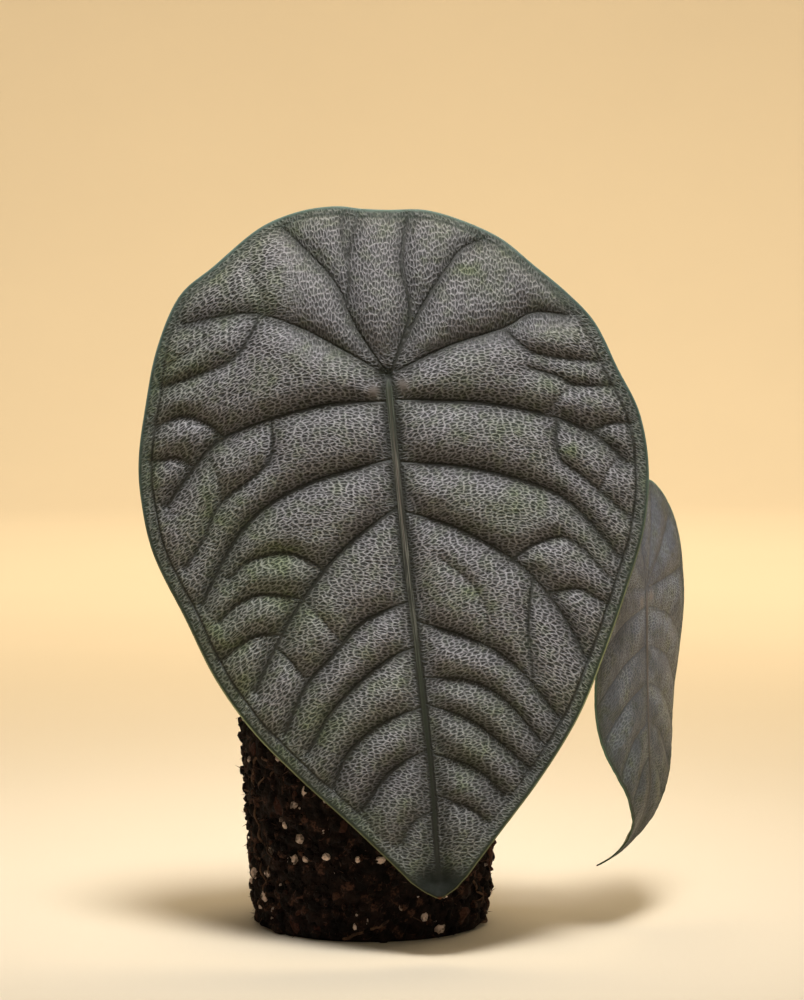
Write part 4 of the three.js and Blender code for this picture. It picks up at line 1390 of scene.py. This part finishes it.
class AlocasiaStageSettings(bpy.types.PropertyGroup):
    """The floor, the lights and the camera"""

    floor_radius: number("Floor radius", "Radius of the flat floor", 1.7, unit="LENGTH")
    sweep_radius: number("Sweep radius", "Radius of the curve up to the wall", 0.8, unit="LENGTH")
    wall_height: number("Wall height", "Height of the wall", 1.1, unit="LENGTH")
    floor_color: paint("Floor", "the floor and the wall", "cbc0ac")
    key_power: power("Key light", "Power of the main light", 1)
    fill_power: power("Fill light", "Power of the fill light", 0.15)
    backdrop_power: power("Backdrop light", "Power of the light on the wall behind", 29)
    wall_power: power("Wall lights", "Power of each light on the other walls", 8)
    sky_strength: number("Sky", "Strength of the even light from all round", 0.16)
    lens: size("Lens", "Focal length of the camera", 120)
    camera_pitch: FloatProperty(
        name="Pitch", description="How far the camera looks down", default=math.radians(4), subtype="ANGLE"
    )
    camera_place: FloatVectorProperty(
        name="Camera",
        description="Where the camera stands",
        default=(0.009, -0.9581, 0.1894),
        subtype="TRANSLATION",
    )


class AlocasiaSettings(bpy.types.PropertyGroup):
    """All the plant's settings"""

    front: PointerProperty(type=AlocasiaFrontBladeSettings)
    side: PointerProperty(type=AlocasiaSideBladeSettings)
    stalks: PointerProperty(type=AlocasiaStalkSettings)
    soil: PointerProperty(type=AlocasiaSoilSettings)
    stage: PointerProperty(type=AlocasiaStageSettings)


# Operators


class ALOCASIA_OT_front_blade(bpy.types.Operator):
    """Builds the large quilted blade that faces the viewer"""

    bl_idname = "alocasia.front_blade"
    bl_label = "Large Blade"

    def execute(self, context):
        look = context.scene.alocasia.front
        build_blade("large_blade", "blade_front", FRONT_BLADE, FRONT_OUTLINE, FRONT_VEINS, look)
        return {"FINISHED"}


class ALOCASIA_OT_side_blade(bpy.types.Operator):
    """Builds the smaller, older blade that hangs at the plant's right"""

    bl_idname = "alocasia.side_blade"
    bl_label = "Small Blade"

    def execute(self, context):
        look = context.scene.alocasia.side
        build_blade("small_blade", "blade_side", SIDE_BLADE, side_outline(), side_veins(), look)
        return {"FINISHED"}


class ALOCASIA_OT_petioles(bpy.types.Operator):
    """Builds the two petioles"""

    bl_idname = "alocasia.petioles"
    bl_label = "Petioles"

    def execute(self, context):
        look = context.scene.alocasia.stalks
        finish = petiole_finish(look)
        build_petiole("large_petiole", "petiole_front", FRONT_PETIOLE, look, finish)
        build_petiole("small_petiole", "petiole_side", SIDE_PETIOLE, look, finish)
        return {"FINISHED"}


class ALOCASIA_OT_stem(bpy.types.Operator):
    """Builds the short scarred stem"""

    bl_idname = "alocasia.stem"
    bl_label = "Stem"

    def execute(self, context):
        build_stem(stem_finish(context.scene.alocasia.stalks))
        return {"FINISHED"}


class ALOCASIA_OT_root_ball(bpy.types.Operator):
    """Builds the moulded plug of potting mix with its loose crumbs"""

    bl_idname = "alocasia.root_ball"
    bl_label = "Root Ball"

    def execute(self, context):
        look = context.scene.alocasia.soil
        finish = mix_finish("potting_mix", look.dark_color, look.mix_color, look.light_color)
        build_plug(look, finish)
        build_grains("loose_crumbs", look.loose_count, finish)
        return {"FINISHED"}


class ALOCASIA_OT_mix_grains(bpy.types.Operator):
    """Builds the grains of perlite and the chips of bark in the mix"""

    bl_idname = "alocasia.mix_grains"
    bl_label = "Perlite and Bark"

    def execute(self, context):
        look = context.scene.alocasia.soil
        perlite = pale_finish("perlite", look.perlite_color, look.mix_color)
        build_grains("perlite_grains", look.perlite_count, perlite)
        bark = mix_finish("bark_chips", look.mix_color, look.bark_color, look.light_color, 0.3)
        build_grains("bark_chips", look.bark_count, bark)
        return {"FINISHED"}


class ALOCASIA_OT_rootlets(bpy.types.Operator):
    """Builds the fine roots and the short fibres on the plug"""

    bl_idname = "alocasia.rootlets"
    bl_label = "Rootlets and Fibres"

    def execute(self, context):
        look = context.scene.alocasia.soil
        roots = pale_finish("rootlets", look.root_color, look.mix_color)
        build_threads("rootlets", rootlet_threads(look), 6, roots)
        fibres = pale_finish("fibres", look.light_color, look.dark_color)
        build_threads("fibres", fibre_threads(look), 4, fibres)
        return {"FINISHED"}


class ALOCASIA_OT_stage(bpy.types.Operator):
    """Builds the floor, the lights and the camera"""

    bl_idname = "alocasia.stage"
    bl_label = "Stage"

    def execute(self, context):
        look = context.scene.alocasia.stage
        build_floor(look)
        light_stage(look)
        set_camera(look)
        return {"FINISHED"}


class ALOCASIA_PT_panel(bpy.types.Panel):
    """Lists what the plant is built from"""

    bl_idname = "ALOCASIA_PT_panel"
    bl_label = "Alocasia Melo"
    bl_space_type = "VIEW_3D"
    bl_region_type = "UI"
    bl_category = "Alocasia"

    def draw(self, context):
        for operator in OPERATORS:
            self.layout.operator(operator.bl_idname)


SETTINGS = [
    AlocasiaFrontBladeSettings,
    AlocasiaSideBladeSettings,
    AlocasiaStalkSettings,
    AlocasiaSoilSettings,
    AlocasiaStageSettings,
    AlocasiaSettings,
]
OPERATORS = [
    ALOCASIA_OT_front_blade,
    ALOCASIA_OT_side_blade,
    ALOCASIA_OT_petioles,
    ALOCASIA_OT_stem,
    ALOCASIA_OT_root_ball,
    ALOCASIA_OT_mix_grains,
    ALOCASIA_OT_rootlets,
    ALOCASIA_OT_stage,
]
CLASSES = [*SETTINGS, *OPERATORS, ALOCASIA_PT_panel]


def register():
    for cls in CLASSES:
        bpy.utils.register_class(cls)
    bpy.types.Scene.alocasia = PointerProperty(type=AlocasiaSettings)


def unregister():
    del bpy.types.Scene.alocasia
    for cls in reversed(CLASSES):
        bpy.utils.unregister_class(cls)


def main():
    register()
    for operator in OPERATORS:
        group, name = operator.bl_idname.split(".")
        getattr(getattr(bpy.ops, group), name)()


if __name__ == "__main__":
    main()
